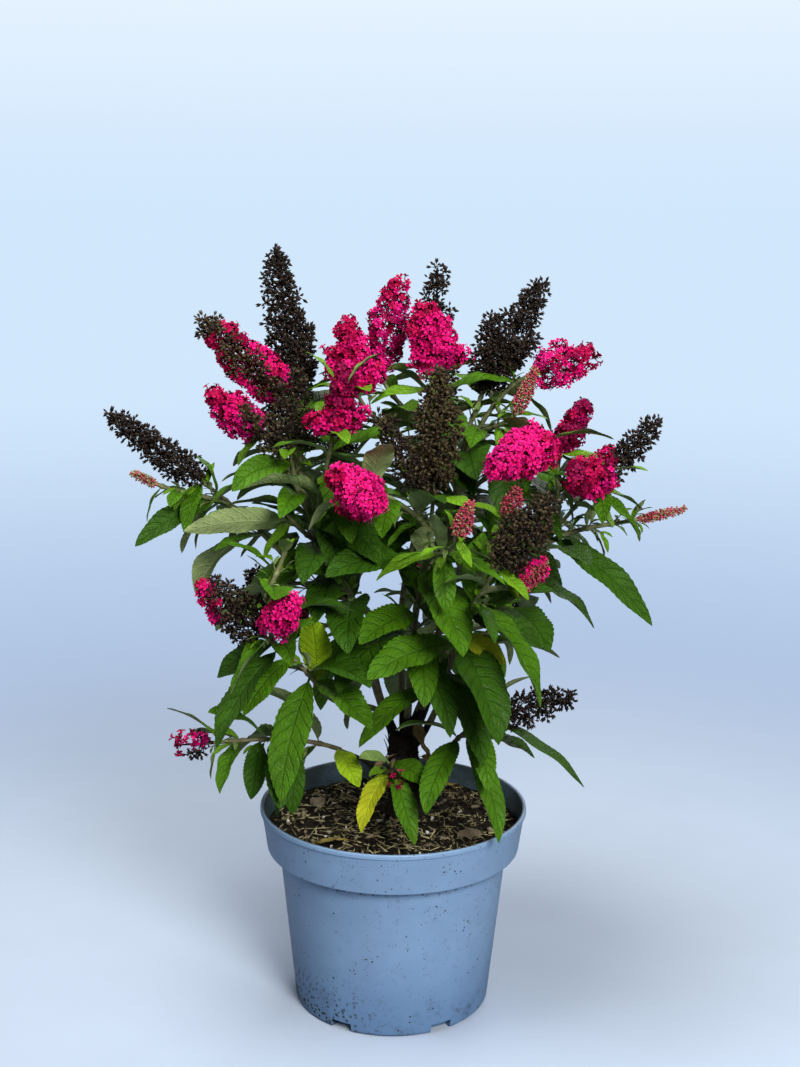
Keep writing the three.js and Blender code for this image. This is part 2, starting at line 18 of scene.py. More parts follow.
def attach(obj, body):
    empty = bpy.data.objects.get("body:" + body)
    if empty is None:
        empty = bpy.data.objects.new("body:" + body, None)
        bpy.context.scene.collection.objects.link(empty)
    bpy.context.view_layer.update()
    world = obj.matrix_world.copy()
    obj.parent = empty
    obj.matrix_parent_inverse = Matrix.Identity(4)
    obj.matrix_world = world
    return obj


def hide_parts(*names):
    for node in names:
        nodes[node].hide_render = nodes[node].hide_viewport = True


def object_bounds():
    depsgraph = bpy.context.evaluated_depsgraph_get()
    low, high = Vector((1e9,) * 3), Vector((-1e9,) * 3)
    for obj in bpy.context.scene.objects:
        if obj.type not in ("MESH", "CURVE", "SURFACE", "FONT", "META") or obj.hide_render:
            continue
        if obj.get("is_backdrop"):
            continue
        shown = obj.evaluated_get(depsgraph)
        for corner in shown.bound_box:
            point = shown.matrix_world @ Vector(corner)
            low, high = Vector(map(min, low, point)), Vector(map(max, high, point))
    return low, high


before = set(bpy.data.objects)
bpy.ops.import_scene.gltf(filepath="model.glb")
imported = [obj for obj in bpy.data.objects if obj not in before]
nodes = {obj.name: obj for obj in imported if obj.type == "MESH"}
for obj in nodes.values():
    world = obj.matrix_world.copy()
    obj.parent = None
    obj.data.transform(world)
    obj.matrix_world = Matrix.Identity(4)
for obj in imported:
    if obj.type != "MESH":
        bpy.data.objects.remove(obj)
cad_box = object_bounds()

MM = 0.001
print("solids loaded:", len(nodes))
print("box of the solid model in metres:", [[round(v, 3) for v in corner] for corner in cad_box])

# %% [markdown]
# ## Camera
# The plant stands at eye level of somebody who crouches in front of it. A moderately long lens keeps the
# pot's rim from looking too open, and the camera looks down just enough to see the compost.

# %% Camera
CAMERA = {"place": (0.0034, -1.286, 0.684), "down": 12.14, "roll": 0.58, "lens": 54}


def placed(name, data):
    """An object with this data, in the scene."""
    made = bpy.data.objects.new(name, data)
    bpy.context.scene.collection.objects.link(made)
    return made


camera_data = bpy.data.cameras.new("camera")
camera_data.lens = CAMERA["lens"]
camera_data.sensor_width = 36
camera = placed("camera", camera_data)
camera.matrix_world = (
    Matrix.Translation(CAMERA["place"])
    @ Matrix.Rotation(math.radians(90 - CAMERA["down"]), 4, "X")
    @ Matrix.Rotation(math.radians(CAMERA["roll"]), 4, "Z")
)
bpy.context.scene.camera = camera
print("camera stands", round(-CAMERA["place"][1], 2), "m in front of the pot's middle")

# %% [markdown]
# ## A short way to write shader nodes
# A material is a tree of nodes. Each helper below adds one node and returns what it puts out, so that a
# finish can be read like a sentence. Effects that several finishes share become node groups further on.

# %% Node helpers
class Tree:
    """A shader tree that is written line by line: each method adds a node and returns its output."""

    def __init__(self, tree):
        self.tree = tree

    def put(self, value, socket):
        """Sets a socket, or links it where the value is what another node puts out."""
        if isinstance(value, bpy.types.NodeSocket):
            self.tree.links.new(value, socket)
        else:
            socket.default_value = value

    def node(self, kind, inputs=None, **settings):
        made = self.tree.nodes.new(kind)
        for key, value in settings.items():
            setattr(made, key, value)
        for key, value in (inputs or {}).items():
            self.put(value, made.inputs[key])
        return made

    def math(self, operation, a, b=0.0):
        return self.node("ShaderNodeMath", {0: a, 1: b}, operation=operation).outputs[0]

    def plus(self, a, b):
        return self.math("ADD", a, b)

    def less(self, a, b):
        return self.math("SUBTRACT", a, b)

    def times(self, a, b):
        return self.math("MULTIPLY", a, b)

    def most(self, a, b):
        return self.math("MAXIMUM", a, b)

    def ramp(self, value, low, high, to_low=0.0, to_high=1.0):
        inputs = {"Value": value, "From Min": low, "From Max": high, "To Min": to_low, "To Max": to_high}
        return self.node("ShaderNodeMapRange", inputs, interpolation_type="SMOOTHSTEP").outputs["Result"]

    def mix(self, a, b, share, blend="MIX"):
        made = self.node("ShaderNodeMix", data_type="RGBA", blend_type=blend)
        given = {"Factor": share, "A": a, "B": b}
        for socket in made.inputs:
            if socket.enabled and socket.name in given:
                self.put(given[socket.name], socket)
        return next(socket for socket in made.outputs if socket.enabled)

    def use(self, name, **inputs):
        """Places a finished effect in the tree and returns its outputs."""
        return self.node("ShaderNodeGroup", inputs, node_tree=bpy.data.node_groups[name]).outputs

    def parts(self, vector):
        return self.node("ShaderNodeSeparateXYZ", {"Vector": vector}).outputs

    def place(self):
        return self.node("ShaderNodeTexCoord").outputs["Object"]

    def chart(self):
        return self.node("ShaderNodeUVMap").outputs["UV"]

    def stretched(self, vector, scale):
        return self.node("ShaderNodeMapping", {"Vector": vector, "Scale": scale}).outputs["Vector"]

    def clouds(self, vector, scale, detail=3.0, roughness=0.55):
        inputs = {"Vector": vector, "Scale": scale, "Detail": detail, "Roughness": roughness}
        return self.node("ShaderNodeTexNoise", inputs).outputs["Fac"]

    def cells(self, vector, scale, feature="F1"):
        inputs = {"Vector": vector, "Scale": scale}
        return self.node("ShaderNodeTexVoronoi", inputs, feature=feature).outputs["Distance"]


def effect(name, inputs, outputs):
    """A node group. `inputs` are labels with their usual values. Only the label Colour isn't a number."""
    group = bpy.data.node_groups.new(name, "ShaderNodeTree")

    def socket(label, side):
        kind = "NodeSocketColor" if label == "Colour" else "NodeSocketFloat"
        return group.interface.new_socket(name=label, in_out=side, socket_type=kind)

    for label, value in inputs.items():
        socket(label, "INPUT").default_value = value
    for label in outputs:
        socket(label, "OUTPUT")
    taken_in = group.nodes.new("NodeGroupInput")
    put_out = group.nodes.new("NodeGroupOutput")
    return Tree(group), taken_in.outputs, put_out.inputs


def rgb(red, green, blue):
    return (red, green, blue, 1.0)


print("node helpers ready")

# %% [markdown]
# ## Light
# Soft daylight falls on the plant from all round, but most of it comes from a wide lamp in front and a
# little to the right, as through a window, so the pot and the heads are shaded towards their sides and
# the inside of the crown stays dark. A second lamp overhead lights the leaves from above, and two weak
# ones open the shadows at the sides and the back. The sky that is seen is a paler blue than the light
# that it gives, because a backdrop reflects little of its colour onto the leaves. Saturated petals lose
# their strength in a film-like tone curve, so the picture's tones are kept as they are.

# %% Light
BACKDROP = {"near": (0.44, 0.565, 0.78), "far": (0.64, 0.80, 0.98), "high": (0.80, 0.90, 1.0)}
DAYLIGHT = {"colour": (0.94, 0.97, 1.0), "strength": 0.15}
AIM = Vector((0, 0, 0.36))
LAMPS = [
    {"name": "window", "place": (0.75, -1.9, 1.5), "width": 0.9, "power": 56, "colour": (1, 0.985, 0.955)},
    {"name": "overhead", "place": (-0.35, -0.35, 2.3), "width": 1.2, "power": 34, "colour": (1, 0.99, 0.97)},
    {"name": "side", "place": (-1.9, 0.2, 1.2), "width": 1.2, "power": 2, "colour": (1, 1, 1)},
    {"name": "back", "place": (0.7, 1.9, 1.6), "width": 1.4, "power": 15, "colour": (1, 1, 1)},
]


def seen_strength(tree, is_seen):
    """Full strength where the backdrop is seen, the daylight's own where it only gives light."""
    return tree.plus(DAYLIGHT["strength"], tree.times(is_seen, 1 - DAYLIGHT["strength"]))


bpy.context.scene.view_settings.view_transform = "Standard"
world = bpy.data.worlds.new("sky")
bpy.context.scene.world = world
world.use_nodes = True
tree = Tree(world.node_tree)
upward = tree.parts(tree.node("ShaderNodeTexCoord").outputs["Generated"])["Z"]
seen = tree.mix(rgb(*BACKDROP["far"]), rgb(*BACKDROP["high"]), tree.ramp(upward, -0.02, 0.14))
is_seen = tree.node("ShaderNodeLightPath").outputs["Is Camera Ray"]
background = world.node_tree.nodes["Background"]
tree.put(tree.mix(rgb(*DAYLIGHT["colour"]), seen, is_seen), background.inputs["Color"])
tree.put(seen_strength(tree, is_seen), background.inputs["Strength"])

for lamp in LAMPS:
    data = bpy.data.lights.new(lamp["name"], "AREA")
    data.shape = "DISK"
    data.size = lamp["width"]
    data.energy = lamp["power"]
    data.color = lamp["colour"]
    lamp_object = placed(lamp["name"], data)
    lamp_object.location = lamp["place"]
    lamp_object.rotation_euler = (AIM - lamp_object.location).to_track_quat("-Z", "Y").to_euler()
print("lamps:", ", ".join(lamp["name"] for lamp in LAMPS))

# %% [markdown]
# ## Effects that the finishes share
# *Mottling* is the slow change of colour that every grown or weathered thing has. *Veins* draws a leaf's
# midrib, its side veins and the fine net between them, on the leaf's own chart, where u runs across the
# leaf and v from stalk to tip. *Fibres* draws streaks along a stem, on the stem's chart. *Specks* scatters
# crumbs of compost over a smooth face.

# %% Effect: mottling
usual = {"Colour": rgb(0.5, 0.5, 0.5), "Size": 20.0, "Depth": 0.3}
tree, given, result = effect("mottling", usual, ["Colour", "Mask"])
broad = tree.clouds(tree.place(), given["Size"], 4.0)
fine = tree.clouds(tree.place(), tree.times(given["Size"], 7.0), 2.0)
both = tree.plus(tree.times(broad, 0.7), tree.times(fine, 0.3))
mask = tree.ramp(both, 0.32, 0.68)
shade = tree.plus(1.0, tree.times(given["Depth"], tree.less(mask, 0.5)))
grey = tree.node("ShaderNodeCombineColor", {"Red": shade, "Green": shade, "Blue": shade}).outputs["Color"]
tree.put(tree.mix(given["Colour"], grey, 1.0, "MULTIPLY"), result["Colour"])
tree.put(mask, result["Mask"])
print("effect made: mottling")

# %% Effect: veins
tree, given, result = effect("veins", {"Pairs": 9.0, "Slant": 1.5, "Net": 420.0}, ["Lines", "Height"])
sides = tree.parts(tree.chart())
off = tree.times(tree.math("ABSOLUTE", tree.less(sides["X"], 0.5)), 2.0)
waver = tree.times(tree.clouds(tree.place(), 60.0, 1.0), 0.5)
# A side vein leaves the midrib steeply and curves on towards the tip.
curve = tree.times(tree.math("POWER", off, 1.25), given["Slant"])
phase = tree.less(tree.times(sides["Y"], given["Pairs"]), curve)
step = tree.math("FRACT", tree.plus(phase, tree.plus(waver, 40.0)))
from_vein = tree.math("ABSOLUTE", tree.less(step, 0.5))
side_vein = tree.ramp(from_vein, 0.36, 0.49)
midrib_line = tree.ramp(off, 0.09, 0.02)
net = tree.ramp(tree.cells(tree.place(), given["Net"], "DISTANCE_TO_EDGE"), 0.02, 0.30)
lines = tree.most(tree.times(side_vein, 0.8), midrib_line)
quilt = tree.times(tree.less(1.0, tree.math("POWER", lines, 0.8)), 0.7)
height = tree.plus(quilt, tree.times(net, 0.3))
tree.put(lines, result["Lines"])
tree.put(height, result["Height"])
print("effect made: veins")

# %% Effect: fibres
tree, given, result = effect("fibres", {"Around": 9.0, "Along": 1.0}, ["Mask", "Height"])
scale = tree.node("ShaderNodeCombineXYZ", {"X": given["Around"], "Y": given["Along"], "Z": 1.0}).outputs[0]
drawn = tree.stretched(tree.chart(), scale)
streaks = tree.clouds(drawn, 1.0, 4.0, 0.6)
cracks = tree.cells(drawn, 0.8, "DISTANCE_TO_EDGE")
tree.put(tree.ramp(streaks, 0.35, 0.65), result["Mask"])
crack_height = tree.times(tree.ramp(cracks, 0.0, 0.22), 0.5)
tree.put(tree.plus(tree.times(streaks, 0.5), crack_height), result["Height"])
print("effect made: fibres")

# %% Effect: specks
tree, given, result = effect("specks", {"Size": 300.0, "Share": 0.2, "Reach": 0.3}, ["Mask"])
bent = tree.clouds(tree.place(), 190.0, 2.0)
spot = tree.plus(tree.cells(tree.place(), given["Size"]), tree.times(bent, 0.24))
here = tree.ramp(spot, given["Reach"], tree.less(given["Reach"], 0.05))
chosen = tree.clouds(tree.place(), tree.times(given["Size"], 0.23), 1.0)
limit = tree.less(0.78, tree.times(given["Share"], 0.5))
kept = tree.ramp(chosen, limit, tree.plus(limit, 0.04))
tree.put(tree.times(here, kept), result["Mask"])
print("effect made: specks")


# %% [markdown]
# ## Finishes of the green parts
# A leaf's upper face is a deep matt green, sunk along its veins and bulged between them, and its
# underside is felted, pale grey-green, with the veins raised. The felt is what makes the young stems and
# the small leaves in the axils look dusty. Each kind of leaf has its own base colour, and the veins and
# the mottling only move it a little, so a yellow leaf stays yellow however the mesh is used later.

# %% Finishes of the leaves
def finish(name, roughness, specular=0.5):
    """An empty material: its tree and its shader."""
    material = bpy.data.materials.new(name)
    material.use_nodes = True
    tree = Tree(material.node_tree)
    shader = material.node_tree.nodes["Principled BSDF"]
    shader.inputs["Roughness"].default_value = roughness
    shader.inputs["Specular IOR Level"].default_value = specular
    return material, tree, shader


def bumped(tree, shader, height, strength, distance):
    """Relief from a height, `distance` being how high it stands, in millimetres."""
    inputs = {"Height": height, "Strength": strength, "Distance": distance * MM}
    tree.put(tree.node("ShaderNodeBump", inputs).outputs["Normal"], shader.inputs["Normal"])


def leaf_finish(kind, colour, vein, roughness, relief, stalk=None):
    """`vein` is the colour in the sunk lines, and `relief` how far the quilting stands up. A leaf that
    turns yellow stays greener at its `stalk`."""
    material, tree, shader = finish("leaf_" + kind, roughness, 0.17)
    veins = tree.use("veins")
    colour = rgb(*colour)
    if stalk:
        along = tree.parts(tree.chart())["Y"]
        colour = tree.mix(rgb(*stalk), colour, tree.ramp(along, 0.05, 0.55))
    mottled = tree.use("mottling", Colour=colour, Size=38.0, Depth=0.5)
    lined = tree.mix(mottled["Colour"], rgb(*vein), tree.times(veins["Lines"], 0.45))
    tree.put(lined, shader.inputs["Base Color"])
    gloss = tree.times(mottled["Mask"], 0.12)
    tree.put(tree.plus(gloss, roughness), shader.inputs["Roughness"])
    bumped(tree, shader, veins["Height"], 0.7, relief)
    return material


LEAF_LOOKS = {  # colour, colour of the veins, roughness, relief, and colour at the stalk
    "deep": ((0.031, 0.097, 0.003), (0.013, 0.046, 0.002), 0.40, 1.7),
    "mid": ((0.060, 0.168, 0.004), (0.028, 0.086, 0.003), 0.40, 1.7),
    "fresh": ((0.125, 0.280, 0.010), (0.075, 0.175, 0.006), 0.42, 1.2),
    "lime": ((0.300, 0.480, 0.012), (0.170, 0.320, 0.008), 0.42, 1.2),
    "yellow": ((0.500, 0.540, 0.018), (0.280, 0.370, 0.012), 0.42, 1.2, (0.240, 0.380, 0.012)),
    "felt": ((0.265, 0.345, 0.135), (0.340, 0.410, 0.190), 0.75, -0.9),
    "pale": ((0.200, 0.310, 0.085), (0.130, 0.215, 0.050), 0.65, 0.8),
    "withered": ((0.300, 0.215, 0.105), (0.165, 0.110, 0.050), 0.80, 1.6),
}
LEAF_FINISHES = {kind: leaf_finish(kind, *look) for kind, look in LEAF_LOOKS.items()}
LEAF_ORDER = list(LEAF_FINISHES)
print("leaf finishes:", ", ".join(LEAF_ORDER))

# %% [markdown]
# ## Finishes of the stems and the bark
# Young shoots are olive and downy with darker lines along them. Lower down they turn brown and fibrous,
# and the stump is nearly black-brown, partly the colour of old bark and partly painted shade under the
# crown, with bark that splits into long strips.

# %% Finishes of the stems
def stem_finish(name, colour, streak, roughness, around, along, relief):
    material, tree, shader = finish(name, roughness, 0.25)
    fibres = tree.use("fibres", Around=around, Along=along)
    mottled = tree.use("mottling", Colour=colour, Size=55.0, Depth=0.6)
    lined = tree.mix(mottled["Colour"], streak, tree.times(fibres["Mask"], 0.7))
    tree.put(lined, shader.inputs["Base Color"])
    dull = tree.ramp(fibres["Mask"], 0.0, 1.0, roughness, roughness + 0.15)
    tree.put(dull, shader.inputs["Roughness"])
    bumped(tree, shader, fibres["Height"], 0.8, relief)
    return material


STEM_FINISHES = {
    "shoot": stem_finish("shoot_down", rgb(0.215, 0.235, 0.105), rgb(0.100, 0.105, 0.040), 0.62, 14, 5, 0.4),
    "wood": stem_finish("young_wood", rgb(0.240, 0.215, 0.115), rgb(0.110, 0.092, 0.048), 0.70, 16, 5, 0.8),
    # The split bark's near-black colour is partly painted shade under the crown.
    "bark": stem_finish("split_bark_and_shade", rgb(0.022, 0.016, 0.011), rgb(0.006, 0.005, 0.004), 0.85, 22, 4, 2.0),
}
STEM_ORDER = list(STEM_FINISHES)
print("stem finishes:", ", ".join(STEM_ORDER))

# %% [markdown]
# ## Finishes of the flower heads
# A fresh floret is hot pink, a shade lighter at the rim of its lobes, partly as a painted highlight on
# the lobe tips, and dark crimson in the throat, partly as painted shade down the tube. Some are crimson,
# older ones go magenta, and then wine red. Buds are dull red with cream and green among them.
# What is left of a finished head is dark brown to black, or olive brown where it dried lately. A floret's
# chart holds the distance from its throat in v, which shades every petal from the throat outwards.

# %% Finishes of the flowers
def petal_finish(kind, throat, lobe, rim):
    material, tree, shader = finish("petal_" + kind, 0.6, 0.1)
    out = tree.parts(tree.chart())["Y"]
    # Painted shade and highlight: the throat is darkened and the rim lightened along the chart's v.
    inner = tree.mix(throat, lobe, tree.ramp(out, 0.15, 0.45))
    outer = tree.mix(inner, rim, tree.ramp(out, 0.66, 1.0))
    mottled = tree.use("mottling", Colour=outer, Size=260.0, Depth=0.35)
    tree.put(mottled["Colour"], shader.inputs["Base Color"])
    bumped(tree, shader, mottled["Mask"], 0.5, 0.15)
    return material


def dry_finish(name, colour, lighter, roughness):
    material, tree, shader = finish(name, roughness, 0.12)
    mottled = tree.use("mottling", Colour=colour, Size=160.0, Depth=0.7)
    flecks = tree.use("specks", Size=900.0, Share=0.7, Reach=0.5)
    tree.put(tree.mix(mottled["Colour"], lighter, flecks["Mask"]), shader.inputs["Base Color"])
    bumped(tree, shader, mottled["Mask"], 0.6, 0.3)
    return material


PETALS = {  # colours of the throat, the lobe and the rim
    "crimson": ((0.22, 0.001, 0.03), (0.40, 0.001, 0.055), (0.56, 0.004, 0.105)),
    "bright": ((0.34, 0.001, 0.05), (0.74, 0.002, 0.165), (0.88, 0.028, 0.285)),
    "magenta": ((0.22, 0.001, 0.05), (0.48, 0.001, 0.125), (0.66, 0.015, 0.235)),
    "wine": ((0.09, 0.001, 0.02), (0.19, 0.001, 0.04), (0.33, 0.006, 0.09)),
    "throat": ((0.15, 0.001, 0.02), (0.24, 0.001, 0.045), (0.3, 0.002, 0.06)),
}
FLOWER_FINISHES = {
    **{kind: petal_finish(kind, *(rgb(*part) for part in parts)) for kind, parts in PETALS.items()},
    "bud_red": dry_finish("bud_red", rgb(0.40, 0.045, 0.085), rgb(0.60, 0.27, 0.19), 0.6),
    "bud_green": dry_finish("bud_green", rgb(0.30, 0.240, 0.105), rgb(0.46, 0.40, 0.21), 0.6),
    "dry": dry_finish("dry_dark", rgb(0.019, 0.013, 0.0100), rgb(0.085, 0.060, 0.044), 0.75),
    "olive": dry_finish("dry_olive", rgb(0.058, 0.042, 0.020), rgb(0.160, 0.125, 0.070), 0.75),
}
FLOWER_ORDER = list(FLOWER_FINISHES)
print("flower finishes:", ", ".join(FLOWER_ORDER))


# %% [markdown]
# ## Gathering thousands of small shapes
# A leaf or a floret as an object of its own would make the scene far too slow. They are worked out as
# arrays instead and gathered in heaps: a heap becomes one mesh with a few finishes. The outline of a leaf
# or a petal, where its two faces meet, is marked sharp, so that neither face is shaded round the edge.

# %% Heaps
class Heap:
    def __init__(self):
        self.points, self.triangles, self.finishes, self.charts, self.rims = [], [], [], [], []
        self.count = 0

    def add(self, points, triangles, finishes, chart=None, rim=None):
        """`points` (n, 3) in millimetres, `triangles` (m, 3), `finishes` one number or m of them."""
        n, m = len(points), len(triangles)
        self.points.append(np.asarray(points, float))
        self.triangles.append(np.asarray(triangles, int) + self.count)
        self.finishes.append(np.broadcast_to(np.asarray(finishes, int), (m,)))
        self.charts.append(np.zeros((n, 2)) if chart is None else np.asarray(chart, float))
        self.rims.append(np.zeros(n, bool) if rim is None else np.asarray(rim, bool))
        self.count += n

    def size(self):
        return sum(len(block) for block in self.triangles)

    def piece(self, name, finishes, slot, *replaced):
        """The heap as one mesh in place of the solids it stands for."""
        points = np.concatenate(self.points) * MM
        corners = np.concatenate(self.triangles).ravel()
        rims = np.concatenate(self.rims)
        mesh = bpy.data.meshes.new(name)
        mesh.vertices.add(len(points))
        mesh.vertices.foreach_set("co", points.ravel())
        mesh.loops.add(len(corners))
        mesh.loops.foreach_set("vertex_index", corners)
        mesh.polygons.add(len(corners) // 3)
        mesh.polygons.foreach_set("loop_start", np.arange(0, len(corners), 3))
        mesh.polygons.foreach_set("material_index", np.concatenate(self.finishes))
        chart = mesh.uv_layers.new(name="chart")
        chart.uv.foreach_set("vector", np.concatenate(self.charts)[corners].ravel())
        mesh.update(calc_edges=True)
        mesh.shade_smooth()
        edges = np.zeros(len(mesh.edges) * 2, int)
        mesh.edges.foreach_get("vertices", edges)
        mesh.edges.foreach_set("use_edge_sharp", rims[edges].reshape(-1, 2).all(axis=1))
        for material in finishes.values():
            mesh.materials.append(material)
        mesh.validate()
        made = placed(name, mesh)
        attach(made, "root")
        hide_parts(*replaced)
        print(f"{name}: {len(mesh.polygons)} triangles")


def repeated(template, triangles, frames, places):
    """Copies of a template: `frames` (n, 3, 3) whose columns are its axes, `places` (n, 3)."""
    points = np.einsum("nij,pj->npi", frames, template) + places[:, None, :]
    offsets = (np.arange(len(places)) * len(template))[:, None, None]
    return points.reshape(-1, 3), (triangles[None] + offsets).reshape(-1, 3)


def unit(vectors):
    return vectors / np.maximum(np.linalg.norm(vectors, axis=-1, keepdims=True), 1e-9)


def frames_to(directions, turns):
    """Frames whose third axis follows each direction, turned round it by `turns` radians."""
    z = unit(directions)
    helper = np.where(np.abs(z[:, 2:3]) < 0.9, [[0.0, 0.0, 1.0]], [[1.0, 0.0, 0.0]])
    x = unit(np.cross(helper, z))
    y = np.cross(z, x)
    cos, sin = np.cos(turns)[:, None], np.sin(turns)[:, None]
    return np.stack([x * cos + y * sin, y * cos - x * sin, z], axis=-1)


print("heaps ready")

# %% [markdown]
# ## The plan of the plant
# A few tables of sizes and one plan rule the whole bush. A mass is one bough with its shoots: `bearing` is
# where the bough leaves the stump, in degrees, or `source` is the bough that it forks from, and `up` how
# far up that one. The first twig carries on from the bough, the others leave the twig numbered `on`, a
# `share` of the way along it. A twig ends at `base`, in a flower head that reaches to `tip`, or in leaf. A
# blade is a single leaf that stands out, told by where its tip is. Blades are placed first, and the rule
# that grows all the other leaves gives way to them.

# %% Sizes
CLEAR = 0.3  # the least gap between two solids
POT = {
    "height": 173, "rim_radius": 113, "lip_height": 4, "lip_proud": 1.4, "collar_height": 36,
    "collar_foot_radius": 107, "body_radius": 97, "foot_radius": 83, "foot_bevel": 2, "wall": 2, "floor": 3,
}
DRAIN = {"count": 6, "first": -60, "width": 19, "height": 8, "depth": 9}
SOIL = {"level": 157, "mound": 1.5, "mound_radius": 70}
STUMP = {"foot": (10, 24, 157.3), "top": (8, 20, 226), "radius": 13.5, "flare": 8, "flare_height": 0.22}
BOUGH = {"steps": 26, "tip_share": 0.62}
TWIG = {"steps": 24, "foot": 2.4, "tip": 1.5}
LEAF = {
    "first_node": 13, "internode": 21, "shortest": 36, "longest": 86, "full_size_at": 85,
    "slimmest": 0.3, "broadest": 0.39, "leave": 58, "least_fall": 36, "most_fall": 64,
    "fold": 7, "thickness": 0.016, "root_share": 0.2, "stray": 24, "most_roll": 22,
}
TRIES = [(0, 1.0), (18, 0.9), (-18, 0.75)]  # how far a leaf without room is lifted, and its size then
HEAD_SINK = 8  # how far a shoot runs up into its flower head
SEED = {
    "light": 77, "rule": 1000, "sheets": 4021, "axils": 9000, "strips": 616, "heads": 500, "lobes": 5000,
    "litter": 31, "old_leaves": 88,
}

# %% Plan
def at(x, y, z):
    return Vector((x, y, z))


PLAN = []


def bough(name, up, tip, radius, bearing=None, source=None):
    """Starts a mass. The twigs and blades told after it belong to it."""
    PLAN.append({"name": name, "up": up, "tip": Vector(tip), "radius": radius, "bearing": bearing,
                 "source": source, "shoots": [], "blades": []})


def twig(base, tip=None, radius=0, turn=0, on=None, share=0.0, head=None, young=1.0, **look):
    """`head` is what the shoot ends in: bloom, dry, bud or mixed, and `look` what sets that head apart."""
    PLAN[-1]["shoots"].append({"base": Vector(base), "tip": tip and Vector(tip), "radius": radius,
                               "turn": turn, "on": on, "at": share, "young": young, "head": head,
                               "look": look})


def blade(on, share, tip, width, kind=None, roll=0):
    """A single leaf that stands out."""
    PLAN[-1]["blades"].append({"on": on, "at": share, "leaf": (Vector(tip), width, kind, roll)})


bough("left_up", 0.9, (-28, -14, 335), 4.6, bearing=160)
twig((-85, -26, 484), (-81, -37, 548), 20, 0, head="dry", open=0.7, olive=0.4,
    lobes=[((-94, -34, 482), (-122, -42, 518), 13, {"olive": 0.7}),
    ((-78, -30, 484), (-54, -36, 512), 12)])
twig((-92, 2, 520), (-158, -12, 584), 23, 45, 0, 0.62, "mixed", olive=0.7, bright=0.45,
    to=(0, 1, -0.05), past=-0.72, tip_dry=74)
twig((-110, -22, 495), (-148, -34, 527), 20, 30, 0, 0.7, "bloom", bright=0.4, magenta=0.3, wine=0.08,
    open=0.25)
twig((-83, 24, 520), (-101, 34, 638), 21, 80, 0, 0.55, "dry",
    lobes=[((-82, 22, 520), (-74, 26, 574), 15)])
# This head is dealt mostly wine florets, partly for its old florets and partly as painted shade.
twig((-48, -67, 504), (-40, -72, 552), 14, 15, 0, 0.42, "bloom", bright=0.0, magenta=0.0, wine=0.75,
    open=0.3, lobes=[((-48, -68, 506), (-68, -70, 512), 10, {"bright": 0.7, "wine": 0.05}),
    ((-42, -68, 506), (-25, -72, 518), 10, {"bright": 0.7, "wine": 0.05}),
    ((-46, -70, 520), (-43, -74, 506), 9, {"bright": 0.4, "wine": 0.1})])
twig((-88, -44, 434), on=0, share=0.35)
blade(0, 0.86, (-127, -70, 454), 24, "mid", 34)
blade(0, 0.6, (-12, -98, 404), 32, "deep", -24)
blade(5, 0.7, (-168, -52, 418), 24, "mid", -62)
blade(0, 0.28, (-62, -80, 352), 30)

bough("left_low", 0.22, (-62, -52, 293), 3, source="left_up")
twig((-108, -82, 347), (-149, -88, 386), 23, 20, head="mixed", to=(-0.9, 0.1, -0.3), past=0.35,
    olive=0.25)
twig((-93, -106, 355), (-77, -126, 383), 19, 60, 0, 0.62, "bloom", bright=0.8, magenta=0.1, wine=0.02)
twig((-84, -62, 416), on=0, share=0.8)
blade(0, 0.06, (-17, -105, 274), 31)
blade(0, 0.12, (-87, -112, 216), 32)
blade(0, 0.01, (-66, -78, 357), 26, "lime")
blade(0, 0.6, (-136, -118, 262), 30)
blade(0, 0.66, (-141, -64, 302), 25, "deep", 34)

bough("left_long", 0.6, (-62, -8, 350), 3, source="left_up")
twig((-158, -12, 452), (-233, -22, 510), 16, 75, head="dry")
twig((-192, -26, 451), (-211, -28, 461), 6, 10, 0, 0.7, "bud", young=0.7, green=0.5)
blade(1, 0.2, (-208, -40, 403), 23, "deep", 28)
blade(0, 0.94, (-167, -44, 414), 16)
blade(0, 0.5, (-146, -34, 398), 18)

bough("centre", 1, (14, -32, 318), 3.6, bearing=285)
twig((29, -72, 455), (32, -84, 557), 20, 30, head="dry", olive=0.8,
    lobes=[((16, -82, 462), (-14, -90, 520), 16, {"olive": 0.25, "open": 0.3})])
twig((-32, -110, 467), (-20, -160, 462), 24, 50, 0, 0.72, "bloom", bright=0.8, magenta=0.06, wine=0.02,
    lean=at(0.6, 0, 0.8),
    lobes=[((-36, -118, 472), (-48, -140, 481), 11, {"bright": 0.3, "magenta": 0.0})])
twig((46, -146, 437), (54, -156, 465), 10, 0, 0, 0.5, "bud", young=0.6, green=0.18)
blade(0, 0.5, (51, -142, 344), 38)
blade(0, 0.22, (-27, -104, 342), 32, "mid", 24)
blade(0, 0.03, (44, -100, 266), 26, "deep")
blade(0, 0.12, (24, -92, 288), 27, "mid")
blade(2, 0.45, (-14, -118, 396), 18, "fresh", 22)
blade(2, 0.55, (81, -148, 401), 18, "mid")

bough("right_mid", 0.72, (40, -30, 284), 3.6, bearing=315)
twig((78, -128, 412), (116, -136, 468), 20, 0, head="dry", olive=0.4)
twig((90, -120, 393), (113, -128, 415), 12, 80, 0, 0.78, "bud", young=0.6, green=0.08, open=0.5)
twig((85, -100, 443), (91, -109, 467), 11, 40, 0, 0.6, "bud", young=0.6, green=0.1)
blade(0, 0.36, (-21, -112, 316), 33, "mid", 24)
blade(0, 0.72, (110, -138, 304), 33, "mid")
blade(0, 0.6, (114, -98, 338), 28, "deep", -28)
blade(0, 0.14, (70, -100, 242), 28)
blade(0, 0.05, (-27, -94, 255), 29)
blade(0, 0.42, (87, -84, 322), 22, "yellow", -24)
blade(0, 0.1, (88, -92, 284), 25, "deep")

bough("right_low", 0.35, (48, -30, 236), 2.6, bearing=330)
twig((84, -62, 272), (144, -66, 291), 16, 45, head="dry", open=0.1)
blade(0, 0.7, (152, -84, 220), 19)
blade(0, 0.3, (84, -98, 178), 22)
blade(0, 0.14, (26, -100, 202), 24, "mid")

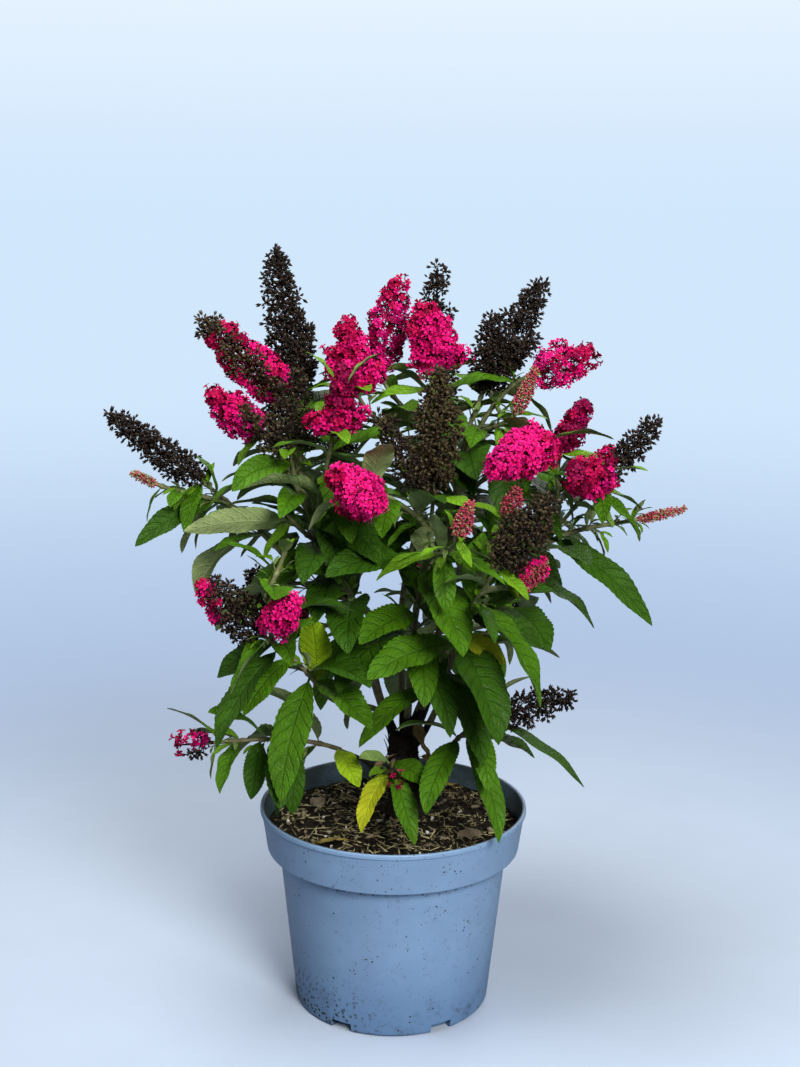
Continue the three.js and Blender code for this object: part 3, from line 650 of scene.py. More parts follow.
bough("front_low", 0.62, (0, -28, 221), 2.4, bearing=262)
twig((-3, -56, 219), (5, -73, 221), 6, 35, head="mixed", young=0.6, to=(0.9, -0.3, 0.4), past=0.1,
    open=0.6, olive=0.4, thin=0.72, wine=0.4)
blade(0, 0.5, (18, -84, 170), 21, "mid")
blade(0, 0.5, (-25, -82, 179), 20, "yellow")
blade(0, 0.2, (30, -72, 215), 20, "mid", -20)
blade(0, 0.3, (-28, -60, 234), 14, "pale", 24)

bough("left_twig", 0.3, (-44, -18, 226), 2.2, bearing=200)
twig((-145, -62, 247), (-177, -64, 245), 15, 0, head="mixed", open=0.7, to=(-0.4, -0.5, 0.7),
    past=0.0, thin=0.55, wine=0.55)
blade(0, 0.62, (-114, -76, 204), 20, "deep")
blade(0, 0.4, (-82, -62, 186), 22, "deep")
blade(0, 0.03, (-28, -52, 206), 21, "lime")

bough("top", 1, (6, 30, 345), 3.8, bearing=90)
twig((33, -6, 546), (20, -24, 594), 26, 10, head="bloom", bright=0.75, magenta=0.1, wine=0.04,
    lobes=[((38, -8, 550), (53, -14, 560), 10)])
twig((-15, 20, 542), (1, 18, 614), 20, 70, 0, 0.6, "bloom", bright=0.1, magenta=0.6, wine=0.25,
    open=0.4)
twig((-34, -22, 530), (-40, -30, 584), 20, 40, 0, 0.5, "bloom", bright=0.5, magenta=0.12, wine=0.08,
    lobes=[((-42, -24, 536), (-55, -28, 558), 10), ((-26, -22, 530), (-12, -26, 548), 12)])
twig((31, 74, 529), (33, 80, 625), 18, 50, 0, 0.45, "dry", open=0.35)

bough("right_up", 1, (40, 8, 345), 4.2, bearing=20)
twig((71, 28, 522), (119, 32, 615), 19, 35, head="dry", lobes=[((72, 22, 526), (78, 16, 588), 15),
    ((84, 24, 540), (112, 12, 572), 11)])
twig((95, -18, 510), (110, -20, 548), 9, 65, 0, 0.7, "bud", young=0.7, green=0.3)
twig((114, 12, 541), (158, 10, 553), 22, 0, 0, 0.6, "bloom", bright=0.5, magenta=0.2, wine=0.15,
    open=0.45, lean=at(-1, 0, 0))
twig((115, -64, 493), (70, -128, 485), 24, 25, 0, 0.4, "bloom", bright=0.75, magenta=0.15, wine=0.0,
    lean=at(-1, 0, 0.2))

bough("right_outer", 0.5, (84, -6, 336), 3.2, source="right_up")
twig((160, -16, 452), (212, -22, 510), 13, 15, head="dry")
twig((160, -54, 468), (136, -94, 470), 22, 60, 0, 0.85, "bloom", bright=0.15, magenta=0.15, wine=0.35,
    open=0.4)
twig((133, 0, 478), (152, -8, 519), 16, 30, 0, 0.6, "bloom", bright=0.0, magenta=0.5, wine=0.6,
    open=0.15)
twig((197, -10, 423), (236, -12, 433), 6, 5, 0, 0.5, "bud", young=0.42, green=0.3)
blade(0, 0.56, (207, -42, 342), 26, "deep", -38)

bough("back_left", 0.75, (-34, 64, 305), 3.6, bearing=122)
twig((-92, 132, 448), (-118, 156, 528), 19, 30, head="dry")
# The lower part of this head has dried, and its dark seed cases also stand in for the shade low in the
# crown.
twig((-52, 146, 446), (-52, 172, 508), 22, 70, 0, 0.5, "mixed", bright=0.6, wine=0.05, to=(0, 0.4, 1),
    past=-0.35)
twig((-114, 104, 336), (-132, 140, 332), 18, 0, 0, 0.2, "dry", olive=0.3)

bough("back_right", 0.75, (50, 66, 305), 3.6, bearing=52)
twig((96, 126, 416), (112, 152, 474), 21, 55, head="bloom", bright=0.7, wine=0.03)
twig((38, 152, 446), (46, 178, 528), 18, 10, 0, 0.5, "dry", olive=0.4)
twig((146, 78, 424), (188, 96, 462), 18, 35, 0, 0.35, "mixed", to=(0.3, 0.6, 0.7))

bough("back_low", 0.3, (14, 76, 250), 2.6, bearing=85)
twig((20, 150, 326), (24, 184, 350), 14, 20, head="bloom", bright=0.5, wine=0.1)
twig((-84, 128, 300), (-112, 150, 316), 15, 60, 0, 0.3, "bloom", bright=0.5, wine=0.15)
twig((92, 118, 300), (122, 134, 322), 15, 0, 0, 0.35, "dry")

print("masses in the plan:", len(PLAN))

# %% [markdown]
# ## Lines to grow along
# Every limb follows a line of stations. Each station knows its place, its heading and two directions
# across, so that leaves can be set round it in pairs. The chance numbers come from one short formula with
# a seed for each shoot, so the plant is the same each time.

# %% Lines
UP = Vector((0, 0, 1))


def seeded(seed):
    state = [seed & 0xFFFFFFFF]

    def chance():
        state[0] = (state[0] * 1664525 + 1013904223) & 0xFFFFFFFF
        return state[0] / 4294967296

    return chance


def lerp(a, b, share):
    return a + (b - a) * share


def line_of(start, leave, end, arrive, steps, ease=0.36):
    """Stations (place, heading, across, over, along) on a curve that leaves and arrives as told."""
    reach = (end - start).length * ease
    a, b, c, d = start, start + leave * reach, end - arrive * reach, end
    across = UP if abs(leave.z) < 0.9 else Vector((0, 1, 0))
    stations = []
    along = 0.0
    for i in range(steps + 1):
        t = i / steps
        u = 1 - t
        place = a * u**3 + b * (3 * u * u * t) + c * (3 * u * t * t) + d * t**3
        heading = ((b - a) * (u * u) + (c - b) * (2 * u * t) + (d - c) * (t * t)).normalized()
        across = (across - heading * across.dot(heading)).normalized()
        if stations:
            along += (place - stations[-1]["place"]).length
        over = heading.cross(across)
        stations.append({"place": place, "heading": heading, "across": across, "over": over, "along": along})
    return stations


def station_at(line, along):
    i = 1
    while i < len(line) - 1 and line[i]["along"] < along:
        i += 1
    a, b = line[i - 1], line[i]
    share = (along - a["along"]) / (b["along"] - a["along"])
    mixed = {key: a[key].lerp(b[key], share) for key in ("place", "heading", "across", "over")}
    for key in ("heading", "across", "over"):
        mixed[key].normalize()
    return mixed


def length_of(line):
    return line[-1]["along"]


def resampled(line, steps):
    """The same line with even steps."""
    shares = [length_of(line) * k / steps for k in range(steps + 1)]
    return [dict(station_at(line, along), along=along) for along in shares]


def away_from(station, turn):
    """The direction away from a station's line, `turn` radians round it."""
    return station["across"] * math.cos(turn) + station["over"] * math.sin(turn)


stump_line, trunk_line = (
    line_of(Vector(STUMP["foot"]), UP, Vector(STUMP["top"]), UP, steps) for steps in (30, 60)
)
bough_lines = {}
for mass in PLAN:
    source = mass["source"]
    bearer = bough_lines[source] if source else stump_line
    foot = station_at(bearer, mass["up"] * (1 if source else 0.93) * length_of(bearer))
    if source:
        leave = (mass["tip"] - foot["place"]).normalized() + foot["heading"]
    else:
        round_stump = math.radians(mass["bearing"])
        leave = Vector((math.cos(round_stump), math.sin(round_stump), lerp(0.35, 1.5, mass["up"])))
    arrive = (mass["shoots"][0]["base"] - mass["tip"]).normalized() + UP * 0.3
    bough_lines[mass["name"]] = line_of(
        foot["place"], leave.normalized(), mass["tip"], arrive.normalized(), BOUGH["steps"]
    )


def shoot_lines(mass):
    lines = []
    for shoot in mass["shoots"]:
        first = shoot["on"] is None
        base, tip = shoot["base"], shoot["tip"]
        if first:
            foot = bough_lines[mass["name"]][-1]
        else:
            bearer = lines[shoot["on"]]
            foot = station_at(bearer, shoot["at"] * length_of(bearer))
        ahead = (base - foot["place"]).normalized()
        arrive = (tip - base) if tip else ahead + UP * 0.4
        arrive = arrive.normalized()
        start = foot["place"] + foot["heading"] * (CLEAR if first else 0)
        leave = foot["heading"] if first else (ahead + foot["heading"]).normalized()
        lines.append(line_of(start, leave, base + arrive * (HEAD_SINK if tip else 0), arrive, TWIG["steps"]))
    return lines


SHOOT_LINES = [shoot_lines(mass) for mass in PLAN]
print("shoots:", sum(len(lines) for lines in SHOOT_LINES))

# %% [markdown]
# ## The leaves' rule
# Butterfly bush leaves stand in pairs, each pair turned a quarter from the last. They are small and narrow
# beside the flower head and long and broad lower down, and they bend under their own weight. A leaf is
# told by where its root is, which way it points, how far it rises, how far it bends down and its size.

# %% Leaves told by the rule
def leaves_of(line, turn, young, seed):
    chance = seeded(seed)

    def spread(share):
        return 1 + share * (2 * chance() - 1)

    leaves = []
    length = length_of(line)
    down = LEAF["first_node"]
    node = 0
    while down < length - 6:
        station = station_at(line, length - down)
        grown = min(1, down / LEAF["full_size_at"]) ** 0.8
        for side in (0, 180):
            turned = math.radians(turn + node * 90 + side + LEAF["stray"] * (chance() - 0.5))
            out = away_from(station, turned)
            leave = math.radians(LEAF["leave"] * spread(0.2))
            heading = (out * math.sin(leave) + station["heading"] * math.cos(leave)).normalized()
            size = young * lerp(LEAF["shortest"], LEAF["longest"], grown) * spread(0.16)
            fall = math.radians(lerp(LEAF["least_fall"], LEAF["most_fall"], grown) * spread(0.25))
            roll = math.radians(LEAF["most_roll"] * (2 * chance() - 1))
            width = size * lerp(LEAF["slimmest"], LEAF["broadest"], grown) * spread(0.1)
            leaves.append({
                "root": station["place"], "bearing": math.atan2(heading.y, heading.x),
                "rise": math.asin(max(-1, min(1, heading.z))), "fall": fall, "roll": roll,
                "length": size, "width": width, "grown": grown, "out": out, "station": station,
            })
        down += LEAF["internode"] * lerp(0.8, 1.25, grown) * spread(0.15)
        node += 1
    return leaves


def leaf_to(root, tip, width, kind, roll):
    """A leaf told by where its root and its tip are."""
    chord = tip - root
    fall = math.radians(LEAF["least_fall"])
    return {
        "root": root, "bearing": math.atan2(chord.y, chord.x), "fall": fall, "roll": math.radians(roll),
        "rise": math.asin(chord.z / chord.length) + fall / 2,
        "length": chord.length * (fall / 2) / math.sin(fall / 2), "width": width, "kind": kind,
    }


def midrib(leaf, share):
    """The midrib's place, side and face directions at each share of its length, as arrays."""
    share = np.asarray(share, float)
    bend = max(leaf["rise"] - leaf["fall"], math.radians(-86)) - leaf["rise"]
    bend = bend if abs(bend) > 1e-3 else 1e-3
    angle = leaf["rise"] + bend * share
    ahead = leaf["length"] * (np.sin(angle) - math.sin(leaf["rise"])) / bend
    above = leaf["length"] * (math.cos(leaf["rise"]) - np.cos(angle)) / bend
    c, s = math.cos(leaf["bearing"]), math.sin(leaf["bearing"])
    place = np.array(leaf["root"]) + np.stack([ahead * c, ahead * s, above], axis=-1)
    face = np.stack([-np.sin(angle) * c, -np.sin(angle) * s, np.cos(angle)], axis=-1)
    side = np.broadcast_to([s, -c, 0.0], face.shape)
    cos, sin = math.cos(leaf["roll"]), math.sin(leaf["roll"])
    return place, side * cos + face * sin, face * cos - side * sin


print("leaf rule ready")

# %% [markdown]
# ## Room for every leaf
# Two leaves never grow through each other. Before a leaf is kept, a plain spindle of its size is tried
# against everything that is already there. A leaf without room is tried again lifted, then lowered, and
# smaller each time, and then left out. A search tree over each shape makes those tests fast.

# %% Room
class Room:
    """The shapes already in place, each with its owner."""

    def __init__(self, most):
        self.low, self.high = np.zeros((most, 3)), np.zeros((most, 3))
        self.owners, self.shapes = [], []

    def take(self, owner, points, faces):
        n = len(self.shapes)
        self.low[n], self.high[n] = points.min(axis=0), points.max(axis=0)
        self.owners.append(owner)
        self.shapes.append(BVHTree.FromPolygons(points.tolist(), faces.tolist()))

    def is_free(self, points, owner=None):
        n = len(self.shapes)
        low, high = points.min(axis=0), points.max(axis=0)
        near = np.all((self.low[:n] < high) & (self.high[:n] > low), axis=1)
        shape = None
        for i in np.flatnonzero(near):
            if self.owners[i] == owner:
                continue
            shape = shape or BVHTree.FromPolygons(points.tolist(), SPINDLE_FACES.tolist())
            if shape.overlap(self.shapes[i]):
                return False
        return True


def tube_faces(rings, sides):
    """Triangles of a tube of rings, closed with a fan at both ends."""
    faces = []
    for i in range(rings - 1):
        for k in range(sides):
            a, b = i * sides + k, i * sides + (k + 1) % sides
            faces += [(a, b, b + sides), (a, b + sides, a + sides)]
    last = (rings - 1) * sides
    for k in range(1, sides - 1):
        faces += [(0, k + 1, k), (last, last + k, last + k + 1)]
    return np.array(faces)


def tube_points(line, sides, radius_at, relief=None):
    """Rings of points round a line. `relief(share_round, along, share)` adds to each point's radius."""
    rings = []
    for i, station in enumerate(line):
        share = i / (len(line) - 1)
        for k in range(sides):
            turn = 2 * math.pi * k / sides
            radius = radius_at(share)
            if relief:
                radius += relief(k / sides, station["along"], share)
            rings.append(station["place"] + away_from(station, turn) * radius)
    return np.array([tuple(point) for point in rings])


SPINDLE_FACES = np.array([
    (0, 1, 2), (0, 2, 3), (0, 3, 1), (1, 4, 5), (1, 5, 2), (2, 5, 6), (2, 6, 3), (3, 6, 4), (3, 4, 1),
    (4, 7, 5), (5, 7, 6), (6, 7, 4),
])


def spindle(leaf, extra=0.0, start=0.0):
    """A leaf as a root, two rings of left edge, right edge and keel, and a tip."""
    place, side, face = midrib(leaf, [start, 0.31, 0.68, 1.0])
    fold = math.radians(LEAF["fold"])
    keel = leaf["length"] * LEAF["thickness"] + extra
    points = [place[0]]
    for ring, girth in ((1, 1.0), (2, 0.74)):
        width = leaf["width"] / 2 * girth + extra
        raised = face[ring] * (width * math.sin(fold) + extra)
        points.append(place[ring] + side[ring] * width * math.cos(fold) + raised)
        points.append(place[ring] - side[ring] * width * math.cos(fold) + raised)
        points.append(place[ring] - face[ring] * keel)
    points.append(place[3])
    return np.array(points)


room = Room(3000)
for name, node in nodes.items():
    if not name.startswith("foliage_"):
        points = np.array([tuple(vertex.co) for vertex in node.data.vertices]) / MM
        faces = np.array([tuple(polygon.vertices) for polygon in node.data.polygons])
        room.take(name, points, faces)
coarse = tube_faces(TWIG["steps"] + 1, 3)
for mass, lines in zip(PLAN, SHOOT_LINES):
    for line in lines:
        room.take(mass["name"], tube_points(line, 3, lambda share: 2.0), coarse)
print("limbs in place:", len(room.shapes))

# %% [markdown]
# ## Flower heads as envelopes
# Before any floret is made, each head is a plain envelope: a blunt cone, widest a quarter of the way up.
# It keeps leaves out of the flowers, and later every floret is set on it.

# %% Envelopes
def head_axes(shoot):
    """The head's foot, its axis, two directions across and its length."""
    axis = shoot["tip"] - shoot["base"]
    length = axis.length
    axis = axis.normalized()
    helper = UP if abs(axis.z) < 0.9 else Vector((1, 0, 0))
    across = helper.cross(axis).normalized()
    return shoot["base"], axis, across, axis.cross(across), length


def reach_at(shoot, share):
    """The envelope's radius at a share of its length."""
    round_ = 2 * np.sqrt(np.clip(share * (1 - np.asarray(share, float)), 0, 1))
    return shoot["radius"] * round_**0.7 * lerp(1.12, 0.62, share)


def envelope(shoot, rings=6, sides=8):
    foot, axis, across, over, length = head_axes(shoot)
    points = []
    for i in range(rings):
        share = lerp(0.04, 0.96, i / (rings - 1))
        for k in range(sides):
            turn = 2 * math.pi * k / sides
            out = across * math.cos(turn) + over * math.sin(turn)
            points.append(tuple(foot + axis * (length * share) + out * float(reach_at(shoot, share))))
    return np.array(points)


ENVELOPE_FACES = tube_faces(6, 8)
for mass in PLAN:
    for shoot in mass["shoots"]:
        if shoot["tip"]:
            room.take(mass["name"], envelope(shoot), ENVELOPE_FACES)
print("limbs and heads in place:", len(room.shapes))

# %% [markdown]
# ## Growing the leaves
# The leaves that stand out come first, then the rule's leaves, shoot by shoot in the plan's order. Near
# the flower heads the leaves are fresh and light, and deeper in the crown they are darker. A leaf's
# underside is always felt, except on the lime, the yellow and the withered ones.

# %% Growth
def grow(owner, leaf):
    """Keeps the leaf if it has room, and says whether it was kept."""
    for lift, size in TRIES:
        tried = dict(leaf)
        tried["rise"] = leaf["rise"] + math.radians(lift)
        tried["length"] = leaf["length"] * size
        tried["width"] = leaf["width"] * size
        clear_of_others = room.is_free(spindle(tried, CLEAR), owner)
        if clear_of_others and room.is_free(spindle(tried, 0, LEAF["root_share"])):
            room.take(owner, spindle(tried), SPINDLE_FACES)
            return tried
    return None


FRESH_BELOW, MID_BELOW = 0.42, 0.82
leaves = []
nodes_of_shoots = {}
for mass, lines in zip(PLAN, SHOOT_LINES):
    for told in mass["blades"]:
        bearer = lines[told["on"]]
        root = station_at(bearer, told["at"] * length_of(bearer))["place"]
        kept = grow(mass["name"], leaf_to(root, *told["leaf"]))
        if kept:
            leaves.append(kept)
blades_kept = len(leaves)

pick = seeded(SEED["light"])
for index, (mass, lines) in enumerate(zip(PLAN, SHOOT_LINES)):
    for i, line in enumerate(lines):
        told = mass["shoots"][i]
        found = leaves_of(line, told["turn"], told["young"], SEED["rule"] + 100 * index + i)
        nodes_of_shoots[index, i] = found
        for leaf in found:
            light = leaf["grown"] + 0.35 * (pick() - 0.5)
            leaf["kind"] = "fresh" if light < FRESH_BELOW else "mid" if light < MID_BELOW else "deep"
            kept = grow(mass["name"], leaf)
            if kept:
                leaves.append(kept)
print("leaves:", len(leaves), "of which", blades_kept, "were placed one by one")

# %% [markdown]
# ## The shape of a leaf
# A leaf could be a flat card with a picture of a leaf on it, but it would be empty from the side and would
# need an image. Here it is a thin closed sheet with its own outline: a short stalk, an egg-shaped blade
# and a drawn-out tip. The halves rise from the midrib and bulge, the margins wave, and the whole leaf
# twists a little. Both faces share the points on the outline.

# %% Leaf sheets
def sheet_template(rows, columns):
    """Shares along and across for both faces, with the triangles that close them."""
    along, across, lower = [], [], []
    grid = np.zeros((2, rows, columns + 1), int)
    for face in (0, 1):
        for r in range(rows):
            for c in range(columns + 1):
                rim = r == 0 or c in (0, columns)
                if face == 1 and rim:
                    grid[1, r, c] = grid[0, r, c]
                    continue
                grid[face, r, c] = len(along)
                along.append(r / rows)
                across.append(2 * c / columns - 1)
                lower.append(face)
    tip = len(along)
    along.append(1.0)
    across.append(0.0)
    lower.append(0)
    triangles, faces = [], []
    for face in (0, 1):
        for c in range(columns):
            for r in range(rows - 1):
                a, b = grid[face, r, c], grid[face, r, c + 1]
                d, e = grid[face, r + 1, c], grid[face, r + 1, c + 1]
                triangles += [(a, b, e), (a, e, d)]
                faces += [face, face]
            triangles.append((grid[face, rows - 1, c], grid[face, rows - 1, c + 1], tip))
            faces.append(face)
    triangles = np.array(triangles)
    faces = np.array(faces)
    triangles[faces == 1] = triangles[faces == 1][:, ::-1]
    # One triangle at the stalk's foot has all its points on the outline. It is told once.
    _, first = np.unique(np.sort(triangles, axis=1), axis=0, return_index=True)
    first.sort()
    triangles, faces = triangles[first], faces[first]
    rim = np.zeros(len(along), bool)
    rim[np.unique(grid[:, :, [0, columns]])] = True
    rim[np.unique(grid[:, 0, :])] = True
    rim[tip] = True
    return {"along": np.array(along), "across": np.array(across), "lower": np.array(lower) == 1,
            "triangles": triangles, "faces": faces, "rim": rim}


STALK = 0.05  # of a leaf's length
SHEET = {  # degrees, a count of waves, and shares of the leaf's length or width
    "twist": 10, "rolled_twist": 26, "teeth": 18, "tooth": 0.018, "more_tooth": 0.02, "sickle": 0.05,
    "stalk": 0.011, "bulge": 0.05, "wave": 0.055, "thickness": 0.0045,
}
FULL_SHEET = sheet_template(36, 4)
SMALL_SHEET = sheet_template(6, 4)


def outline(share):
    """Half the leaf's width, from 0 at the stalk's end over 1 at the widest place to 0 at the tip."""
    grown = np.clip((share - STALK) / (1 - STALK), 0, 1)
    return grown**0.72 * (1 - grown) ** 0.84 / 0.3394


def sheet_points(leaf, template, chance):
    along, across = template["along"], template["across"]
    place, side, face = midrib(leaf, along)
    most = math.radians(SHEET["rolled_twist" if leaf["roll"] else "twist"])
    twist = most * (2 * chance() - 1) * along[:, None]
    side, face = side * np.cos(twist) + face * np.sin(twist), face * np.cos(twist) - side * np.sin(twist)
    sickle = leaf["length"] * SHEET["sickle"] * (2 * chance() - 1)
    depth = SHEET["tooth"] + SHEET["more_tooth"] * chance()
    teeth = 1 + depth * np.cos(along * math.pi * 2 * SHEET["teeth"])
    half = np.maximum(leaf["width"] / 2 * outline(along) * teeth, leaf["length"] * SHEET["stalk"])
    half[along >= 1.0] = 0.0
    fold = math.radians(LEAF["fold"] * (1.2 + 2.0 * chance()))
    out = np.abs(across)
    bulge = leaf["width"] * SHEET["bulge"] * np.sin(out * math.pi) * np.sin(np.clip(along, 0, 1) * math.pi)
    waves = 1.6 + 1.2 * chance()
    swing = np.where(across < 0, chance(), chance()) * 2 * math.pi
    wave = leaf["width"] * SHEET["wave"] * out**2 * np.sin(waves * 2 * math.pi * along + swing)
    blade_share = np.clip(outline(along), 0, 1)
    thickness = leaf["length"] * SHEET["thickness"] * (1 - 0.75 * out)
    raised = out * half * math.sin(fold) + (bulge + wave) * blade_share
    raised = raised + np.where(template["lower"], -thickness, thickness)
    shift = across * half * math.cos(fold) + sickle * along**2 * (1 - along) * 4
    return place + side * shift[:, None] + face * raised[:, None]


def add_leaf(heap, leaf, template, chance):
    upper = LEAF_ORDER.index(leaf["kind"])
    under = leaf["kind"] if leaf["kind"] in ("yellow", "lime", "withered") else "felt"
    finishes = np.where(template["faces"] == 0, upper, LEAF_ORDER.index(under))
    chart = np.stack([(template["across"] + 1) / 2, template["along"]], axis=-1)
    heap.add(sheet_points(leaf, template, chance), template["triangles"], finishes, chart, template["rim"])


# %% Dress the shoots in leaves
chance = seeded(SEED["sheets"])
leaf_heap = Heap()
for leaf in leaves:
    if leaf["kind"] is None:
        leaf["kind"] = "mid" if chance() < 0.6 else "deep"
    add_leaf(leaf_heap, leaf, FULL_SHEET, chance)

# A young pair that reaches up out of a head, and withered leaves that cling round the stump.
LOOSE_LEAVES = [  # root, tip, width, kind and roll
    (at(-47, -82, 543), at(-69, -84, 564), 11, "fresh", 20),
    (at(-37, -82, 541), at(-14, -84, 563), 10, "pale", -20),
    (at(14, 12, 232), at(32, -18, 214), 12, "withered", 30),
    (at(4, 8, 214), at(-20, -16, 200), 13, "withered", -25),
    (at(12, 8, 196), at(34, -14, 182), 12, "withered", 35),
    (at(0, 16, 190), at(-26, 4, 170), 14, "withered", 20),
    (at(22, 24, 206), at(48, 30, 186), 13, "withered", -30),
    (at(8, 34, 212), at(10, 60, 190), 14, "withered", 15),
    (at(18, 2, 244), at(24, -22, 232), 10, "withered", -40),
]
for told in LOOSE_LEAVES:
    add_leaf(leaf_heap, leaf_to(*told), FULL_SHEET, chance)
print("leaf triangles:", leaf_heap.size())

# %% [markdown]
# ## Finer growth in the axils
# Above every leaf there is a bud in the corner between leaf and stem, and on this bush most of them have
# started: a stub of a shoot with a pair or two of small pale felted leaves. They fill the crown without
# hiding its gaps, and stay well inside the reach of the big leaves.

# %% Axil shoots
AXIL = {"share": 0.62, "shortest": 5, "longest": 22, "leaf": 11, "most_leaf": 24, "radius": 0.8}
axil_heap = Heap()
stem_heap = Heap()


def stem(line, radius_at, sides, finish_at, relief=None, squareness=0.0):
    """Adds a stem to the stem heap. `finish_at(height)` names its finish at a height."""
    def shaped(share_round, along, share):
        square = -squareness * radius_at(share) * (0.5 - 0.5 * math.cos(8 * math.pi * share_round))
        return square + (relief(share_round, along, share) if relief else 0)

    points = tube_points(line, sides, radius_at, shaped)
    faces = tube_faces(len(line), sides)
    heights = points[faces[:, 0], 2]
    finishes = [STEM_ORDER.index(finish_at(height)) for height in heights]
    around = np.tile(np.arange(sides) / sides, len(line))
    along = np.repeat([station["along"] / 30 for station in line], sides)
    stem_heap.add(points, faces, finishes, np.stack([around, along], axis=-1))


kept_tufts = 0
for (index, i), found in nodes_of_shoots.items():
    owner = PLAN[index]["name"]
    chance = seeded(SEED["axils"] + 100 * index + i)
    for leaf in found:
        if chance() > AXIL["share"]:
            continue
        station = leaf["station"]
        size = lerp(AXIL["shortest"], AXIL["longest"], leaf["grown"] * chance())
        heading = (leaf["out"] * 0.8 + station["heading"] * 0.9).normalized()
        start = station["place"]
        line = line_of(start, heading, start + heading * size + UP * size * 0.15, heading, 3)
        tips = []
        for side in (0, 1, 2, 3):
            turned = math.radians(90 * side + 40 * chance())
            out = away_from(line[-1], turned)
            towards = (out * 0.75 + line[-1]["heading"]).normalized()
            length = lerp(AXIL["leaf"], AXIL["most_leaf"], leaf["grown"]) * (0.6 + 0.6 * chance())
            if side > 1:
                length *= 0.6
            tips.append({
                "root": line[-1]["place"] if side < 2 else line[-2]["place"],
                "bearing": math.atan2(towards.y, towards.x), "rise": math.asin(towards.z),
                "fall": math.radians(30 + 30 * chance()), "roll": 0.3 * (chance() - 0.5),
                "length": length, "width": length * 0.34, "kind": "pale" if side > 1 else "fresh",
            })
        if all(room.is_free(spindle(small), owner) for small in tips):
            kept_tufts += 1
            for small in tips:
                add_leaf(axil_heap, small, SMALL_SHEET, chance)
            stem(line, lambda share: AXIL["radius"] * (1 - 0.4 * share), 5, lambda height: "shoot")
print("axil shoots:", kept_tufts, "with", axil_heap.size(), "triangles")

# %% [markdown]
# ## Stems
# A shoot is a little square, like all of this family, and it swells where each pair of leaves stands. The
# shoots are drawn as tubes of stations, finer than the leaves need, so that the swellings show. They turn
# from olive to brown on their way down to the boughs.

# %% Shoots
WOOD_BELOW, BARK_BELOW = 372, 248


def shoot_finish(height):
    return "shoot" if height > WOOD_BELOW else "wood"


for index, (mass, lines) in enumerate(zip(PLAN, SHOOT_LINES)):
    for i, line in enumerate(lines):
        foot = mass["radius"] * BOUGH["tip_share"] if i == 0 else TWIG["foot"]
        fine = resampled(line, 70)
        roots = {leaf["root"].to_tuple(2): leaf["root"] for leaf in nodes_of_shoots[index, i]}
        places = [min(fine, key=lambda s: (s["place"] - root).length)["along"] for root in roots.values()]

        def swelling(share_round, along, share):
            return sum(0.75 * math.exp(-(((along - place) / 1.8) ** 2)) for place in places)

        stem(fine, lambda share: lerp(max(foot, 2.0), TWIG["tip"], share), 8, shoot_finish, swelling, 0.14)
print("stem triangles:", stem_heap.size())

# %% [markdown]
# ## Stump and boughs
# The woody part gets its relief from the mesh itself: long strips of bark that stand up unevenly, made
# from noise that is stretched along the limb. The stump's foot flares where it enters the compost.

# %% Bark relief
def bark_relief(depth, seed):
    def relief(share_round, along, share):
        turn = 2 * math.pi * share_round
        strip = noise.noise(Vector((math.cos(turn) * 2.6 + seed, math.sin(turn) * 2.6, along * 0.045)))
        crack = noise.noise(Vector((math.cos(turn) * 6, math.sin(turn) * 6 + seed, along * 0.11)))
        lump = noise.noise(Vector((math.cos(turn) + seed, math.sin(turn), along * 0.03)))
        return depth * (0.55 * strip - 0.5 * abs(crack) + 0.8 * lump)

    return relief


def stump_radius(share):
    flare = max(0.0, 1 - share / STUMP["flare_height"])
    return STUMP["radius"] * (1 - 0.12 * share) + STUMP["flare"] * flare**3


def bough_finish(height):
    return "bark" if height < BARK_BELOW else "wood"


stem(trunk_line, stump_radius, 56, lambda height: "bark", bark_relief(2.2, 3.0))
for number, mass in enumerate(PLAN):
    fine = resampled(bough_lines[mass["name"]], 44)
    radius = mass["radius"]
    stem(fine, lambda share: radius * lerp(1, BOUGH["tip_share"], share), 14, bough_finish,
         bark_relief(0.9, 11.0 + number))

# Strips of bark that have come loose, each held at one end.
STRIPS = {"count": 130, "shortest": 7, "more": 12, "radius": 0.9}
chance = seeded(SEED["strips"])
for _ in range(STRIPS["count"]):
    station = station_at(trunk_line, length_of(trunk_line) * (0.06 + 0.9 * chance()))
    out = away_from(station, 2 * math.pi * chance())
    up = 1 if chance() < 0.5 else -1
    start = station["place"] + out * (stump_radius(0.5) - 0.6)
    strip = STRIPS["shortest"] + STRIPS["more"] * chance()
    end = start + UP * (up * strip) + out * (strip * (0.1 + 0.3 * chance()))
    line = line_of(start, (UP * up + out * 0.1).normalized(), end, (UP * up + out * 0.5).normalized(), 4)
    stem(line, lambda share: STRIPS["radius"] * (1 - 0.75 * share), 4, lambda height: "bark")
print("stem triangles with the wood:", stem_heap.size())

# %% [markdown]
# ## Clusters
# A head of butterfly bush isn't an even cone: it is built of small clusters on short stalks, and in each
# cluster the florets, buds or seed cases spread from one point like sparks. That gives the head its bumps
# and its gaps. The clusters are laid in a spiral that spreads them evenly over the envelope.

# %% Clusters on an envelope
GOLDEN = math.radians(137.508)
THIRDS = (0, 2.094, 4.189)
QUARTERS = (0, 1.571, 3.142, 4.712)


